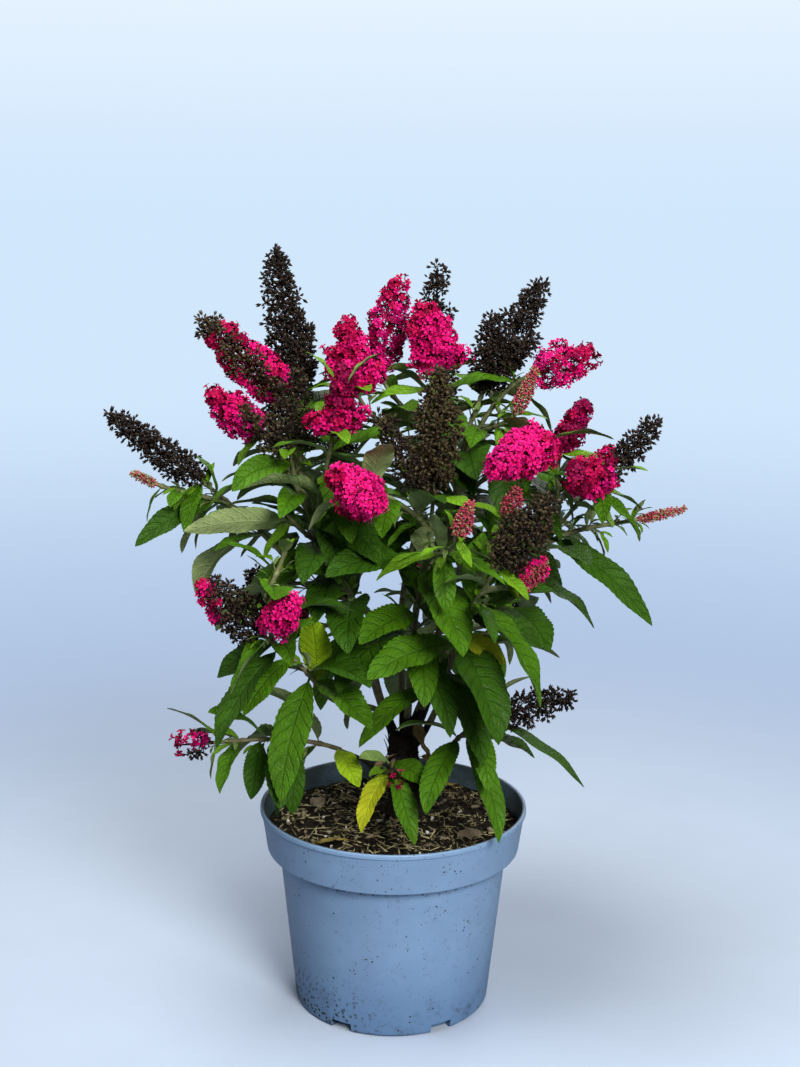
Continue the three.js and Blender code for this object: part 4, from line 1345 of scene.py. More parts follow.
def spiral(shoot, spacing, inset, dent=0.0, seed=0):
    """Points `inset` below the envelope, which is dented by up to a share `dent` of its radius, with their
    outward directions and their shares of its length."""
    foot, axis, across, over, length = (np.array(v) for v in head_axes(shoot))
    length = float(length)
    shares = np.linspace(0.03, 0.96, 200)
    rings = 2 * math.pi * reach_at(shoot, shares) * length / 200
    area = np.cumsum(np.maximum(rings, 1.0))
    count = max(5, int(area[-1] / spacing**2))
    share = np.interp((np.arange(count) + 0.5) / count * area[-1], area, shares)
    turn = np.arange(count) * GOLDEN
    spots = zip(np.cos(turn) * 1.4, np.sin(turn) * 1.4, share * 3.4 + seed * 1.7)
    dents = np.array([max(0.0, noise.noise(Vector(spot)) + 0.15) for spot in spots])
    reach = reach_at(shoot, share) * (1 - dent * dents)
    reach = np.maximum(reach - inset, reach * 0.3)
    out = np.cos(turn)[:, None] * across + np.sin(turn)[:, None] * over
    places = foot + axis * (share * length)[:, None] + out * reach[:, None]
    slope = (share - 0.34) * 1.9
    return places, unit(out + axis * slope[:, None]), share


def burst(centres, outward, count, opening, random):
    """`count` sparks from each centre, spread evenly to `opening` degrees from the outward direction."""
    step = np.tile(np.arange(count) + 0.5, len(centres))
    polar = np.radians(opening) * np.sqrt(step / count)
    turn = step * GOLDEN + np.repeat(random.uniform(0, 2 * math.pi, len(centres)), count)
    frames = frames_to(np.repeat(outward, count, axis=0), turn)
    directions = frames[:, :, 2] * np.cos(polar)[:, None] + frames[:, :, 0] * np.sin(polar)[:, None]
    directions = unit(directions + random.normal(0, 0.13, directions.shape))
    return np.repeat(centres, count, axis=0), directions


def sticks(heap, starts, ends, radius, finish):
    """Thin three-sided branchlets from starts to ends."""
    along = ends - starts
    frames = frames_to(along, np.zeros(len(starts)))
    frames[:, :, 2] = along
    turns = np.array(THIRDS)
    low = np.stack([np.cos(turns) * radius, np.sin(turns) * radius, 0 * turns], axis=-1)
    template = np.concatenate([low, low * [0.7, 0.7, 1] + [0, 0, 1]])
    sides = [(0, 1, 4), (0, 4, 3), (1, 2, 5), (1, 5, 4), (2, 0, 3), (2, 3, 5)]
    triangles = np.array(sides + [(0, 2, 1), (3, 4, 5)])
    heap.add(*repeated(template, triangles, frames, starts), finish)


def four_sided(foot, ring, higher, tip):
    """Points and triangles of a body with four sides: a foot, two rings of four points and a tip."""
    triangles = []
    for k in range(4):
        a, b = 1 + k, 1 + (k + 1) % 4
        triangles += [(0, b, a), (a, b, b + 4), (a, b + 4, a + 4), (a + 4, b + 4, 9)]
    return np.array([foot, *ring, *higher, tip], float), np.array(triangles)


def in_two_finishes(heap, template, frames, places, is_first, names):
    """Copies of a template, (points, triangles), in the first finish or the second."""
    for chosen, name in zip((is_first, ~is_first), names):
        if chosen.any():
            heap.add(*repeated(*template, frames[chosen], places[chosen]), FLOWER_ORDER.index(name))


def axis_and_stalks(heap, shoot, centres, share, finish, thickness=0.5):
    """The head's own stem, and a stalk from it to each cluster."""
    foot, axis, _, _, length = (np.array(v) for v in head_axes(shoot))
    reach = reach_at(shoot, share)
    roots = foot + axis * (np.clip(share - 0.4 * reach / float(length), 0, 1) * float(length))[:, None]
    sticks(heap, roots, centres, thickness, finish)
    line = line_of(Vector(foot), Vector(axis), Vector(foot + axis * float(length) * 0.95), Vector(axis), 8)
    heap.add(tube_points(line, 5, lambda along: lerp(1.6, 0.5, along)), tube_faces(9, 5), finish)
    return roots


def core(heap, shoot, share_of_radius, finish, seed):
    """The dark middle of a dense head, which keeps the sky from showing through it."""
    points = envelope(shoot, 9, 10)
    foot, axis = np.array(shoot["base"]), np.array(head_axes(shoot)[1])
    middle = foot + np.outer((points - foot) @ axis, axis)
    random = np.random.RandomState(seed)
    points = middle + (points - middle) * share_of_radius * random.uniform(0.8, 1.2, (len(points), 1))
    heap.add(points, tube_faces(9, 10), finish)


print("clusters ready")

# %% [markdown]
# ## Florets
# A floret is a narrow dark tube that opens into four rounded lobes, as a small star. It is modelled once
# in three stages of opening, as a closed shape with a thin rim, and then set thousands of times.

# %% Floret template
FLORET = {"throat": 0.9, "waist": 2.6, "tip": 3.9, "tube": 7.5, "spread": 34, "tip_spread": 20}


def floret_template(curl):
    """One floret that faces +Z. `curl` lifts the tips of its lobes."""
    def point(radius, degrees, z):
        turn = math.radians(degrees)
        return (radius * math.cos(turn), radius * math.sin(turn), z)

    points = [(0, 0, -1.6), (0, 0, -FLORET["tube"])]
    points += [point(FLORET["throat"], 45 + 90 * k, 0) for k in range(4)]
    triangles, finishes = [], []
    for k in range(4):
        a, b = 2 + k, 2 + (k + 1) % 4
        triangles += [(0, a, b), (1, b, a)]
        finishes += ["throat", "throat"]
        middle = 90 + 90 * k
        first = len(points)
        lift = curl * (1 if k % 2 else 0.5)
        points += [
            point(FLORET["waist"], middle - FLORET["spread"], 0.55 * lift + 0.25),
            point(FLORET["tip"], middle - FLORET["tip_spread"], lift),
            point(FLORET["tip"], middle + FLORET["tip_spread"], lift + 0.25),
            point(FLORET["waist"], middle + FLORET["spread"], 0.55 * lift),
            point(2.3, middle, 0.4 * lift - 0.3),
        ]
        ring = [a, first, first + 1, first + 2, first + 3, b]
        triangles += [(a, ring[n], ring[n + 1]) for n in range(1, 5)]
        triangles += [(ring[(n + 1) % 6], ring[n], first + 4) for n in range(6)]
        finishes += ["lobe"] * 10
    points = np.array(points, float)
    rim = np.ones(len(points), bool)
    rim[[0, 1]] = False
    rim[10::5] = False
    chart = np.stack([np.zeros(len(points)), np.hypot(points[:, 0], points[:, 1]) / FLORET["tip"]], axis=-1)
    return {"points": points, "triangles": np.array(triangles), "lobe": np.array(finishes) == "lobe",
            "chart": chart, "rim": rim}


FLORETS = [floret_template(curl) for curl in (-0.8, 0.3, 1.6)]
bloom_heaps = [Heap(), Heap()]
print("triangles in a floret:", len(FLORETS[0]["triangles"]))


# %% Heads in bloom
SHADES = ("crimson", "bright", "magenta", "wine")


def shades_of(look, places, in_cluster, random):
    """A shade for each floret. Crimson gathers at one side of a head and magenta at the other, and the
    florets of a cluster are much of an age."""
    lean = np.array(look.get("lean", (1.0, 0.2, -0.6)))
    across = (places - places.mean(axis=0)) @ (lean / np.linalg.norm(lean))
    clusters = len(places) // in_cluster
    by_cluster = np.repeat(random.normal(0, 0.6, clusters), in_cluster)
    mixed = across / (across.std() + 1e-6) * 1.3 + by_cluster + random.normal(0, 0.45, len(places))
    order = np.empty(len(places))
    order[np.argsort(mixed)] = (np.arange(len(places)) + 0.5) / len(places)
    bright, magenta = look.get("bright", 0.5), look.get("magenta", 0.15)
    shade = np.where(order > 1 - magenta, 2, np.where(order > 1 - magenta - bright, 1, 0))
    faded = np.repeat(random.rand(clusters), in_cluster) * 0.6
    faded = faded + random.rand(len(places)) * 0.4
    return np.where(faded < look.get("wine", 0.05), 3, shade)


def set_florets(heap, places, outward, shade, random):
    """Sets florets that face outwards at the places."""
    n = len(places)
    frames = frames_to(unit(outward + random.normal(0, 0.15, (n, 3))), random.uniform(0, 2 * math.pi, n))
    frames = frames * random.uniform(0.74, 0.98, n)[:, None, None]
    variant = random.randint(0, len(FLORETS), n)
    throat = FLOWER_ORDER.index("throat")
    for v, template in enumerate(FLORETS):
        for number, name in enumerate(SHADES):
            chosen = (variant == v) & (shade == number)
            count = int(chosen.sum())
            if count:
                copies = repeated(template["points"], template["triangles"], frames[chosen], places[chosen])
                finishes = np.tile(np.where(template["lobe"], FLOWER_ORDER.index(name), throat), count)
                chart, rim = np.tile(template["chart"], (count, 1)), np.tile(template["rim"], count)
                heap.add(*copies, finishes, chart, rim)


BLOOM = {"spacing": 12.4, "looser": 2.6, "inset": 7.8, "dent": 0.34, "florets": 11, "opening": 84}


def bloom(heap, shoot, seed, keep=None):
    look = shoot["look"]
    random = np.random.RandomState(seed)
    loose = look.get("open", 0.0)
    inset = min(BLOOM["inset"], 0.52 * shoot["radius"])
    spacing = BLOOM["spacing"] + BLOOM["looser"] * loose
    centres, outward, share = spiral(shoot, spacing, inset, BLOOM["dent"], seed)
    centres = centres + random.normal(0, 1.0 + 0.8 * loose, centres.shape)
    kept = np.ones(len(centres), bool) if keep is None else keep(centres)
    centres, outward, share = centres[kept], outward[kept], share[kept]
    starts, directions = burst(centres, outward, BLOOM["florets"], BLOOM["opening"], random)
    reached = random.uniform(4.7, 6.9, (len(starts), 1)) + random.uniform(0, 3.0 * loose, (len(starts), 1))
    reached[random.rand(len(starts)) < 0.12] += 2.6
    places = starts + directions * reached
    opened = random.rand(len(starts)) > look.get("thin", 0.03 + 0.18 * loose)
    shade = shades_of(look, places, BLOOM["florets"], random)
    set_florets(heap, places[opened], directions[opened], shade[opened], random)
    throat = FLOWER_ORDER.index("throat")
    axis_and_stalks(heap, shoot, centres, share, throat)
    if loose < 0.3 and keep is None:
        core(heap, shoot, 0.52, throat, seed)


# %% [markdown]
# ## Finished heads
# When the petals drop, a head keeps its branchlets, and on each a knot of small split seed cases. They are
# what makes the dark heads look knotted and lets pinpricks of light through. Each case is a thin stalk, a
# plump body and two short prongs where it has split.

# %% Seed case template
def case_template():
    points = [(0.5 * math.cos(turn), 0.5 * math.sin(turn), -2.6) for turn in THIRDS] + [(0, 0, 2.6)]
    triangles = [(0, 1, 3), (1, 2, 3), (2, 0, 3), (0, 2, 1)]
    points += [(0, 0, 0.4), (1.35, 0, 2.7), (0, 1.25, 2.7), (-1.35, 0, 2.7), (0, -1.25, 2.7)]
    points += [(0, 0, 4.1), (0.95, 0, 5.4), (-0.95, 0, 5.4)]
    triangles += [(4, 6, 5), (4, 7, 6), (4, 8, 7), (4, 5, 8)]
    triangles += [(5, 6, 10), (6, 9, 10), (9, 8, 10), (8, 5, 10)]
    triangles += [(7, 8, 11), (8, 9, 11), (9, 6, 11), (6, 7, 11)]
    return np.array(points, float), np.array(triangles)


CASE = case_template()
dry_heaps = [Heap(), Heap()]
print("triangles in a seed case:", len(CASE[1]))


# %% Finished heads
DRY = {"spacing": 9.7, "looser": 3.4, "inset": 4.2, "dent": 0.42, "cases": 8, "opening": 100}


def dry_head(heap, shoot, seed, keep=None):
    look = shoot["look"]
    random = np.random.RandomState(seed)
    loose = look.get("open", 0.0)
    inset = min(DRY["inset"], 0.38 * shoot["radius"])
    spacing = DRY["spacing"] + DRY["looser"] * loose
    centres, outward, share = spiral(shoot, spacing, inset, DRY["dent"], seed)
    centres = centres + random.normal(0, 1.8, centres.shape)
    kept = np.ones(len(centres), bool) if keep is None else keep(centres)
    kept &= random.rand(len(centres)) > 0.04 + 0.25 * loose
    centres, outward, share = centres[kept], outward[kept], share[kept]
    roots = axis_and_stalks(heap, shoot, centres, share, FLOWER_ORDER.index("dry"), 0.6)
    starts, directions = burst(centres, outward, DRY["cases"], DRY["opening"], random)
    starts = starts + directions * random.uniform(0.0, 3.8, (len(starts), 1))
    inner = np.repeat(roots * 0.4 + centres * 0.6, 2, axis=0)
    starts = np.concatenate([starts, inner + random.normal(0, 1.5, inner.shape)])
    directions = np.concatenate([directions, random.normal(0, 1, inner.shape)])
    frames = frames_to(directions, random.uniform(0, 2 * math.pi, len(starts)))
    frames = frames * random.uniform(0.72, 1.16, len(starts))[:, None, None]
    is_green = random.rand(len(starts)) < look.get("olive", 0.0)
    in_two_finishes(heap, CASE, frames, starts, is_green, ("olive", "dry"))


# %% [markdown]
# ## Buds
# A head in bud is a slender spike of clusters of small round-ended buds. On the plant the first florets
# open low on it; here a few open anywhere among the buds.

# %% Buds
def bud_template():
    turns = np.array(QUARTERS)
    ring = np.stack([np.cos(turns) * 0.5, np.sin(turns) * 0.5, 0 * turns + 1.2], axis=-1)
    return four_sided((0, 0, -1.0), ring, ring * [2.1, 2.1, 1] + [0, 0, 2.0], (0, 0, 4.3))


BUD = bud_template()
BUDS = {"spacing": 5.6, "inset": 4.2, "buds": 6, "opening": 80}
bud_heap = Heap()


def bud_head(shoot, seed):
    look = shoot["look"]
    random = np.random.RandomState(seed)
    inset = min(BUDS["inset"], 0.6 * shoot["radius"])
    centres, outward, share = spiral(shoot, BUDS["spacing"], inset)
    axis_and_stalks(bud_heap, shoot, centres, share, FLOWER_ORDER.index("bud_green"))
    raised = unit(outward + 0.5 * np.array(head_axes(shoot)[1]))
    starts, towards = burst(centres, raised, BUDS["buds"], BUDS["opening"], random)
    frames = frames_to(towards, random.uniform(0, 6, len(starts)))
    frames = frames * random.uniform(0.68, 1.0, len(starts))[:, None, None]
    is_green = random.rand(len(starts)) < look.get("green", 0.0)
    in_two_finishes(bud_heap, BUD, frames, starts, is_green, ("bud_green", "bud_red"))
    opened = random.rand(len(starts)) < look.get("open", 0.0) * 0.35
    if opened.any():
        shade = random.randint(0, 2, int(opened.sum()))
        set_florets(bud_heap, starts[opened] + towards[opened] * 3.4, towards[opened], shade, random)


# %% [markdown]
# ## Dressing every shoot
# Each shoot gets the head that its plan names, and a head with `lobes` gets smaller heads of the same kind
# on it. On a mixed head, `to` points at the side that is still in bloom, beyond a share `past` of its
# radius, and the rest of it has dried. With `tip_dry`, `past` is a cosine round the axis instead, so the
# dried part is a strip along the head, and all that is further up than `tip_dry` millimetres has dried.

# %% Heads
def dress(shoot, seed):
    dry, flowers = (min(heaps, key=Heap.size) for heaps in (dry_heaps, bloom_heaps))
    if shoot["head"] == "bloom":
        bloom(flowers, shoot, seed)
    elif shoot["head"] == "dry":
        dry_head(dry, shoot, seed)
    elif shoot["head"] == "bud":
        bud_head(shoot, seed)
    elif shoot["head"] == "mixed":
        look = shoot["look"]
        foot, axis = (np.array(v) for v in head_axes(shoot)[:2])
        middle = np.array((shoot["base"] + shoot["tip"]) / 2)
        side = np.array(Vector(look["to"]).normalized())
        past = look.get("past", 0.2)

        def in_bloom(places):
            if "tip_dry" not in look:
                return (places - middle) @ side > past * shoot["radius"]
            along = (places - foot) @ axis
            around = unit(places - foot - along[:, None] * axis)
            return (around @ side > past) & (along < look["tip_dry"])

        bloom(flowers, shoot, seed, in_bloom)
        dry_head(dry, shoot, seed, lambda places: ~in_bloom(places))


for index, mass in enumerate(PLAN):
    for i, told in enumerate(mass["shoots"]):
        seed = SEED["heads"] + 21 * index + i
        dress(told, seed)
        for n, lobe in enumerate(told["look"].get("lobes", [])):
            base, tip, radius, *changes = lobe
            smaller = {"base": Vector(base), "tip": Vector(tip), "radius": radius}
            look = dict(told["look"], **(changes[0] if changes else {}))
            dress(dict(told, look=look, **smaller), SEED["lobes"] + seed * 4 + n)
print("floret triangles:", [heap.size() for heap in bloom_heaps])
print("seed case triangles:", [heap.size() for heap in dry_heaps])
print("bud triangles:", bud_heap.size())

# %% [markdown]
# ## Handing the plant over as pieces
# Each kind of thing is one piece, or two where it is large. Together they stand for the solids of the
# foliage, and the stems also for the stump and the boughs.

# %% Pieces of the plant
FOLIAGE = sorted(name for name in nodes if name.startswith("foliage_"))
WOOD = sorted(name for name in nodes if name.startswith("bough_")) + ["stump"]

leaf_heap.piece("leaves", LEAF_FINISHES, "foliage", *FOLIAGE)
axil_heap.piece("axil_leaves", LEAF_FINISHES, "foliage", *FOLIAGE)
stem_heap.piece("stems", STEM_FINISHES, "bark", *WOOD)
bud_heap.piece("buds", FLOWER_FINISHES, "foliage", *FOLIAGE)
for number in (0, 1):
    bloom_heaps[number].piece(f"florets_{number + 1}", FLOWER_FINISHES, "foliage", *FOLIAGE)
    dry_heaps[number].piece(f"seed_heads_{number + 1}", FLOWER_FINISHES, "foliage", *FOLIAGE)

# %% [markdown]
# ## Pot
# The pot is moulded in one piece: a tapered body, a collar with a rolled lip, and drain notches cut round
# its foot. It could keep the plain solid, but that has forty flat sides and sharp edges. Its section is
# drawn again here with small roundings, turned in fine steps, and the notches are cut with boxes.

# %% Finish of the pot
def pot_finish():
    material, tree, shader = finish("pot_plastic", 0.42, 0.45)
    colour = rgb(0.236, 0.378, 0.600)
    mottled = tree.use("mottling", Colour=colour, Size=9.0, Depth=0.16)
    where = tree.parts(tree.place())
    height = where["Z"]
    # Painted shade: the pot is painted a deeper blue towards its foot than at its collar.
    painted_foot_shade = tree.ramp(height, 0.090, 0.0)
    shaded_towards_foot = tree.mix(mottled["Colour"], rgb(0.120, 0.235, 0.440), tree.times(painted_foot_shade, 0.8))
    # The inside of the collar is painted green-black, partly for compost that has spattered up onto it and
    # partly as painted shade inside the rim.
    flat = tree.node("ShaderNodeCombineXYZ", {"X": where["X"], "Y": where["Y"]}).outputs[0]
    out = tree.node("ShaderNodeVectorMath", {0: flat}, operation="LENGTH").outputs["Value"]
    spread = POT["rim_radius"] - POT["lip_proud"] - POT["collar_foot_radius"]
    lean = spread / (POT["collar_height"] - POT["lip_height"])
    upright = tree.less(out, tree.times(height, lean))
    wall = (POT["collar_foot_radius"] - lean * (POT["height"] - POT["collar_height"])) * MM
    within = tree.ramp(upright, wall - 0.0006, wall - 0.0012)
    inner = tree.times(within, tree.ramp(height, 0.1374, 0.1380))
    crumbs = tree.use("specks", Size=210.0, Share=0.42, Reach=0.30)["Mask"]
    grains = tree.use("specks", Size=520.0, Share=0.46, Reach=0.33)["Mask"]
    smear = tree.clouds(tree.place(), 26.0, 5.0, 0.7)
    low = tree.ramp(height, 0.040, 0.0)
    ledge = tree.times(tree.ramp(height, 0.126, 0.136), tree.ramp(height, 0.1372, 0.1368))
    dusty = tree.times(tree.most(low, ledge), tree.ramp(smear, 0.52, 0.66))
    # Splashes gather on one side of the foot and under the collar.
    splashes = tree.use("specks", Size=230.0, Share=1.0, Reach=0.46)["Mask"]
    by_foot = tree.times(tree.ramp(height, 0.060, 0.006), tree.ramp(where["X"], 0.02, -0.06))
    thick = tree.times(splashes, tree.most(by_foot, ledge))
    scattered_dirt = tree.most(tree.most(crumbs, grains), thick)
    dirt = tree.most(scattered_dirt, tree.times(dusty, 0.75))
    # Grime and painted shade darken the inside of the collar in patches.
    grime_and_shade = tree.times(inner, tree.ramp(smear, 0.3, 0.6, 0.6, 0.95))
    splashed_and_shaded = tree.mix(shaded_towards_foot, rgb(0.040, 0.062, 0.060), grime_and_shade)
    coloured = tree.mix(splashed_and_shaded, rgb(0.030, 0.038, 0.022), dirt)
    tree.put(coloured, shader.inputs["Base Color"])
    tree.put(tree.ramp(dirt, 0.0, 1.0, 0.42, 0.9), shader.inputs["Roughness"])
    fine = tree.clouds(tree.place(), 700.0, 2.0)
    relief = tree.plus(tree.times(fine, 0.12), tree.times(dirt, 1.0))
    bumped(tree, shader, relief, 0.6, 0.35)
    return material


# %% Section and lathe
def rounded(corners, radius, steps=5):
    """The section's corners, each but the first and last replaced by a small arc."""
    points = [corners[0]]
    for before, corner, after in zip(corners, corners[1:], corners[2:]):
        a, b, c = Vector(before), Vector(corner), Vector(after)
        cut = min(radius, (a - b).length * 0.45, (c - b).length * 0.45)
        start, end = b + (a - b).normalized() * cut, b + (c - b).normalized() * cut
        for i in range(steps + 1):
            t = i / steps
            points.append(tuple(start * (1 - t) ** 2 + b * (2 * t * (1 - t)) + end * t * t))
    points.append(corners[-1])
    return points


def circle(radius, count):
    turns = [2 * math.pi * k / count for k in range(count)]
    return [(radius * math.cos(turn), radius * math.sin(turn)) for turn in turns]


def turned(section, sides):
    """A closed body turned round Z. The section starts and ends on the axis."""
    ring = section[1:-1]
    points = [(0, 0, section[0][1])]
    for radius, z in ring:
        points += [(x, y, z) for x, y in circle(radius, sides)]
    points.append((0, 0, section[-1][1]))
    faces = []
    for k in range(sides):
        after = (k + 1) % sides
        faces.append((0, 1 + after, 1 + k))
        for i in range(len(ring) - 1):
            a, b = 1 + i * sides + k, 1 + i * sides + after
            faces.append((a, b, b + sides, a + sides))
        last = 1 + (len(ring) - 1) * sides
        faces.append((last + k, last + after, len(points) - 1))
    return points, faces


def solid_object(name, points, faces, material):
    mesh = bpy.data.meshes.new(name)
    mesh.from_pydata([tuple(Vector(point) * MM) for point in points], [], faces)
    mesh.materials.append(material)
    return placed(name, mesh)


def bake(made):
    """Applies the object's modifiers to its mesh."""
    graph = bpy.context.evaluated_depsgraph_get()
    mesh = bpy.data.meshes.new_from_object(made.evaluated_get(graph))
    made.modifiers.clear()
    made.data = mesh


collar_foot = POT["height"] - POT["collar_height"]
collar_top = POT["rim_radius"] - POT["lip_proud"]
lip_foot = POT["height"] - POT["lip_height"]
OUTSIDE = [
    (0, 0), (POT["foot_radius"] - POT["foot_bevel"], 0), (POT["foot_radius"], POT["foot_bevel"]),
    (POT["body_radius"], collar_foot), (POT["collar_foot_radius"], collar_foot),
    (collar_top, lip_foot), (POT["rim_radius"], lip_foot), (POT["rim_radius"], POT["height"]),
]
INSIDE = [
    (collar_top - POT["wall"], POT["height"]),
    (POT["collar_foot_radius"] - POT["wall"], collar_foot + POT["wall"]),
    (POT["body_radius"] - POT["wall"], collar_foot + POT["wall"]),
    (POT["foot_radius"] - POT["wall"], POT["floor"]), (0, POT["floor"]),
]
pot_material = pot_finish()
pot = solid_object("growing_pot", *turned(rounded(OUTSIDE + INSIDE, 1.2), 144), pot_material)

boxes = []
for i in range(DRAIN["count"]):
    turn = Matrix.Rotation(math.radians(DRAIN["first"] + i * 360 / DRAIN["count"]), 4, "Z")
    half = Vector((DRAIN["depth"], DRAIN["width"] / 2, DRAIN["height"]))
    corners = [
        turn @ Vector((POT["foot_radius"] + x * half.x, y * half.y, z * half.z))
        for x in (-1, 1) for y in (-1, 1) for z in (-1, 1)
    ]
    faces = [(0, 1, 3, 2), (4, 6, 7, 5), (0, 4, 5, 1), (2, 3, 7, 6), (0, 2, 6, 4), (1, 5, 7, 3)]
    cutter = solid_object(f"notch_{i}", corners, faces, pot_material)
    boxes.append(cutter)
    cut = pot.modifiers.new(f"notch_{i}", "BOOLEAN")
    cut.operation = "DIFFERENCE"
    cut.solver = "EXACT"
    cut.object = cutter
bake(pot)
for cutter in boxes:
    bpy.data.objects.remove(cutter)
pot.data.shade_smooth()
pot.data.set_sharp_from_angle(angle=math.radians(32))
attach(pot, "root")
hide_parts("pot")
print("pot faces:", len(pot.data.polygons))

# %% [markdown]
# ## Compost
# The compost is dark peat with pale fibres, chips of bark, a few white grains and scraps of old leaves on
# top. A single bumpy disc would look like rubber, so the loose things are real shapes that lie on it.

# %% Finishes of the compost
def crumb_finish(name, colour, other, roughness, size, relief):
    material, tree, shader = finish(name, roughness, 0.2)
    mottled = tree.use("mottling", Colour=colour, Size=size, Depth=0.8)
    grain = tree.ramp(tree.clouds(tree.place(), size * 4, 3.0), 0.5, 0.7)
    tree.put(tree.mix(mottled["Colour"], other, grain), shader.inputs["Base Color"])
    bumped(tree, shader, tree.clouds(tree.place(), size * 5, 4.0, 0.7), 1.0, relief)
    return material


SOIL_FINISHES = {
    "peat": crumb_finish("peat", rgb(0.011, 0.008, 0.005), rgb(0.036, 0.027, 0.014), 0.95, 90, 2.5),
    "straw": crumb_finish("straw", rgb(0.480, 0.430, 0.225), rgb(0.270, 0.230, 0.105), 0.8, 150, 0.3),
    "chip": crumb_finish("chip", rgb(0.066, 0.054, 0.030), rgb(0.036, 0.027, 0.014), 0.85, 150, 0.4),
    "grain": crumb_finish("white_grain", rgb(0.72, 0.72, 0.68), rgb(0.55, 0.54, 0.50), 0.8, 300, 0.3),
    "scrap": crumb_finish("leaf_scrap", rgb(0.250, 0.200, 0.130), rgb(0.150, 0.115, 0.070), 0.85, 110, 0.5),
    "old_leaf": crumb_finish("old_leaf", rgb(0.420, 0.330, 0.080), rgb(0.260, 0.180, 0.060), 0.8, 90, 0.5),
}
SOIL_ORDER = list(SOIL_FINISHES)


# %% Surface of the compost
def soil_edge(height):
    """The radius of the pot's inside at a height above its ledge."""
    ledge = collar_foot + POT["wall"]
    slope = (collar_top - POT["collar_foot_radius"]) / (POT["height"] - ledge)
    return POT["collar_foot_radius"] - POT["wall"] - 2 * CLEAR + (height - ledge) * slope


SOIL_EDGE = soil_edge(SOIL["level"] - SOIL["mound"])


def soil_level(x, y):
    """The height of the compost's surface, crumbs included."""
    away = math.hypot(x, y)
    edge = max(0.0, (away - SOIL["mound_radius"]) / (SOIL_EDGE - SOIL["mound_radius"]))
    lumps = 1.5 * noise.noise(Vector((x, y, 0)) * 0.045) + 1.1 * noise.noise(Vector((x, y, 7)) * 0.14)
    crumbs = 0.9 * noise.noise(Vector((x, y, 3)) * 0.42)
    return SOIL["level"] - SOIL["mound"] * edge - 1.2 + lumps + crumbs


soil_heap = Heap()
RINGS, AROUND = 58, 180
points = [(0, 0, soil_level(0, 0))]
for i in range(1, RINGS + 1):
    points += [(x, y, soil_level(x, y)) for x, y in circle(SOIL_EDGE * i / RINGS, AROUND)]
low_level = collar_foot + POT["wall"] + 1
points += [(x * 0.96, y * 0.96, low_level) for x, y, _ in points[-AROUND:]]
points.append((0, 0, low_level))
triangles = []
for k in range(AROUND):
    after = (k + 1) % AROUND
    triangles.append((0, 1 + k, 1 + after))
    for i in range(RINGS):
        a, b = 1 + i * AROUND + k, 1 + i * AROUND + after
        triangles += [(a, a + AROUND, b + AROUND), (a, b + AROUND, b)]
    low = 1 + RINGS * AROUND
    triangles.append((low + k, len(points) - 1, low + after))
soil_heap.add(points, triangles, SOIL_ORDER.index("peat"))
print("compost surface triangles:", soil_heap.size())

# %% Fibres, chips and grains
random = np.random.RandomState(SEED["litter"])
SQUARE = [(1, 0), (0, 1), (-1, 0), (0, -1)]
SLIVER = four_sided((0, 0, -1), [(x * 0.8, y * 0.8, -0.5) for x, y in SQUARE],
                    [(x + 0.25, y, 0.45) for x, y in SQUARE], (0.1, 0, 1))


def scattered(count, within, patchy):
    """Places on the compost, clear of the stump, and gathered in patches where that is asked for."""
    places = []
    while len(places) < count:
        x, y = random.uniform(-within, within, 2)
        by_stump = math.hypot(x - STUMP["foot"][0], y - STUMP["foot"][1]) < 17
        bare = patchy and noise.noise(Vector((x, y, 40)) * 0.05) + 0.35 * random.rand() < 0.1
        if math.hypot(x, y) < within and not by_stump and not bare:
            places.append((x, y, soil_level(x, y)))
    return np.array(places)


def lay(kind, count, length, breadth, tilt, within, patchy=False):
    """Slivers that lie on the compost: long thin spindles, pointed at both ends."""
    places = scattered(count, within, patchy)
    size = length[0] + (length[1] - length[0]) * random.rand(count) ** 2
    turn = random.uniform(0, 2 * math.pi, count)
    rise = random.normal(0, tilt, count)
    along = np.stack([np.cos(turn) * np.cos(rise), np.sin(turn) * np.cos(rise), np.sin(rise)], axis=-1)
    frames = frames_to(along, random.uniform(0, 6, count))
    widths = random.uniform(*breadth, count)
    frames[:, :, 0] *= widths[:, None]
    frames[:, :, 1] *= (widths * random.uniform(0.3, 0.8, count))[:, None]
    frames[:, :, 2] *= (size / 2)[:, None]
    places[:, 2] += widths * 0.3 + np.abs(np.sin(rise)) * size * 0.35
    soil_heap.add(*repeated(*SLIVER, frames, places), SOIL_ORDER.index(kind))


lay("straw", 860, (3, 20), (0.25, 0.65), 0.22, SOIL_EDGE - 5, True)
lay("straw", 80, (16, 42), (0.4, 0.8), 0.08, SOIL_EDGE - 20)
lay("chip", 520, (3, 9), (0.6, 1.5), 0.3, SOIL_EDGE - 4, True)
lay("peat", 900, (2, 7), (0.8, 2.0), 0.4, SOIL_EDGE - 4)
lay("scrap", 160, (4, 11), (0.8, 2.4), 0.25, SOIL_EDGE - 6)
lay("grain", 60, (2.0, 5.0), (1.0, 2.2), 0.5, SOIL_EDGE - 5)
print("compost triangles:", soil_heap.size())

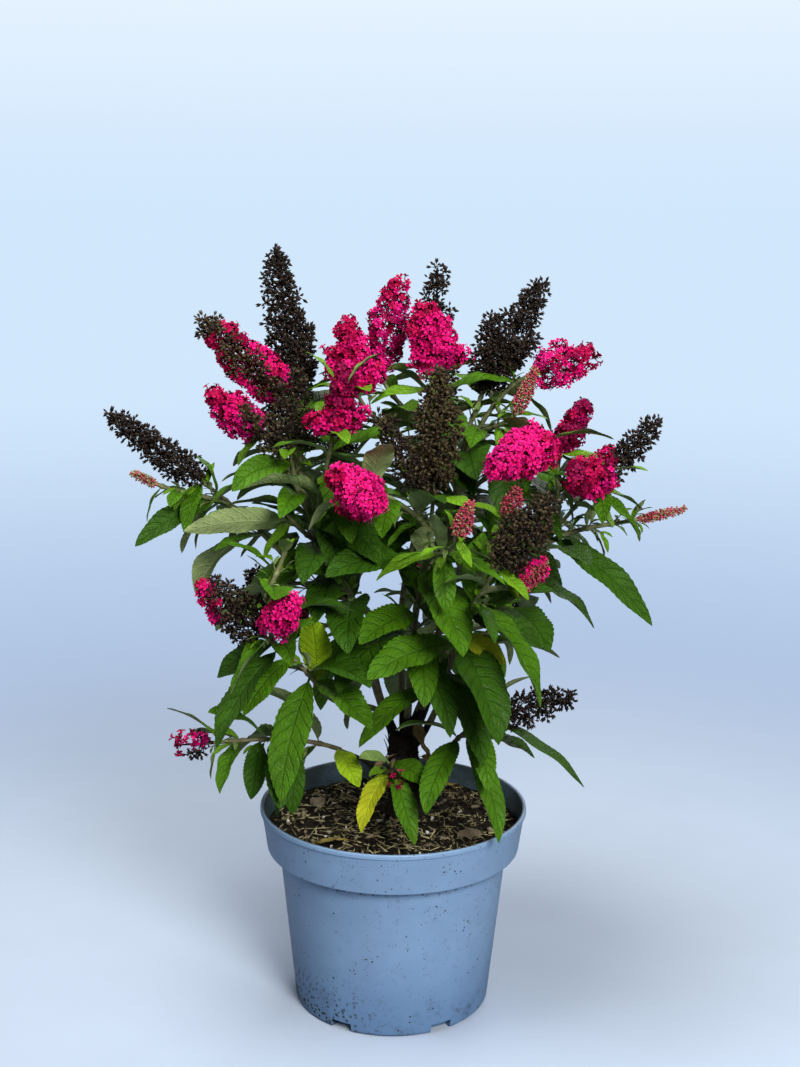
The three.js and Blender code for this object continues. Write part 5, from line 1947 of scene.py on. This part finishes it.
# %% Scraps of old leaves
OLD_LEAVES = [  # root, bearing, rise, fall, length, width and kind
    (at(-33, -52, 160), 200, 16, 34, 38, 15, "old_leaf"),
    (at(-40, -86, 158), 150, 14, 30, 26, 19, "scrap"),
    (at(-20, -80, 158), 215, 10, 22, 24, 17, "scrap"),
    (at(52, -40, 158), 20, 12, 26, 24, 13, "scrap"),
    (at(84, -52, 157), 60, 10, 26, 28, 9, "scrap"),
    (at(-64, 20, 158), 100, 12, 28, 30, 14, "scrap"),
    (at(30, 76, 157), 10, 12, 30, 34, 14, "old_leaf"),
]
chance = seeded(SEED["old_leaves"])
for root, *angles, length, width, kind in OLD_LEAVES:
    bearing, rise, fall = (math.radians(angle) for angle in angles)
    old = {"root": root, "bearing": bearing, "rise": rise, "fall": fall, "length": length, "width": width,
           "roll": 0.5 * (2 * chance() - 1) + 0.01}
    points = sheet_points(old, FULL_SHEET, chance)
    crumple = np.array([noise.noise(Vector(point) * 0.16) for point in points])
    points[:, 2] += crumple * 3
    soil_heap.add(points, FULL_SHEET["triangles"], SOIL_ORDER.index(kind), None, FULL_SHEET["rim"])
soil_heap.piece("compost", SOIL_FINISHES, "soil", "soil")

# %% [markdown]
# ## Floor
# The plant stands on a plain pale floor. A little way off it turns, without a seam, into the colour of
# the backdrop, as a paper sweep does in a studio.

# %% Floor
floor_material, tree, shader = finish("floor", 0.9, 0.0)
away = tree.node("ShaderNodeVectorMath", {0: tree.place()}, operation="LENGTH").outputs["Value"]
is_sweep = tree.ramp(away, 0.35, 1.3)
is_seen = tree.node("ShaderNodeLightPath").outputs["Is Camera Ray"]
paper = tree.mix(rgb(0.22, 0.26, 0.32), rgb(0.50, 0.585, 0.72), is_seen)
mottled = tree.use("mottling", Colour=paper, Size=2.0, Depth=0.05)
tree.put(tree.mix(mottled["Colour"], rgb(0, 0, 0), is_sweep), shader.inputs["Base Color"])
farness = tree.math("DIVIDE", away, tree.plus(away, 3.0))
sweep = tree.mix(rgb(*BACKDROP["near"]), rgb(*BACKDROP["far"]), tree.ramp(farness, 0.24, 0.60))
tree.put(sweep, shader.inputs["Emission Color"])
tree.put(tree.times(is_sweep, seen_strength(tree, is_seen)), shader.inputs["Emission Strength"])
FLOOR_HALF = 60000
corners = [(-FLOOR_HALF, -FLOOR_HALF, 0), (FLOOR_HALF, -FLOOR_HALF, 0),
           (FLOOR_HALF, FLOOR_HALF, 0), (-FLOOR_HALF, FLOOR_HALF, 0)]
floor = solid_object("floor", corners, [(0, 1, 2, 3)], floor_material)
floor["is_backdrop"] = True

# %% [markdown]
# ## Size of the dressed plant
# Both boxes are printed: the solid model's at the start and the dressed plant's here. The dressed
# plant may reach only a few millimetres past the box of the solid model.

# %% Size of the dressed plant
visual_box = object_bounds()
boxes = {"cad": [list(corner) for corner in cad_box], "visual": [list(corner) for corner in visual_box]}
print("box of the dressed plant in metres:", [[round(v, 3) for v in corner] for corner in visual_box])
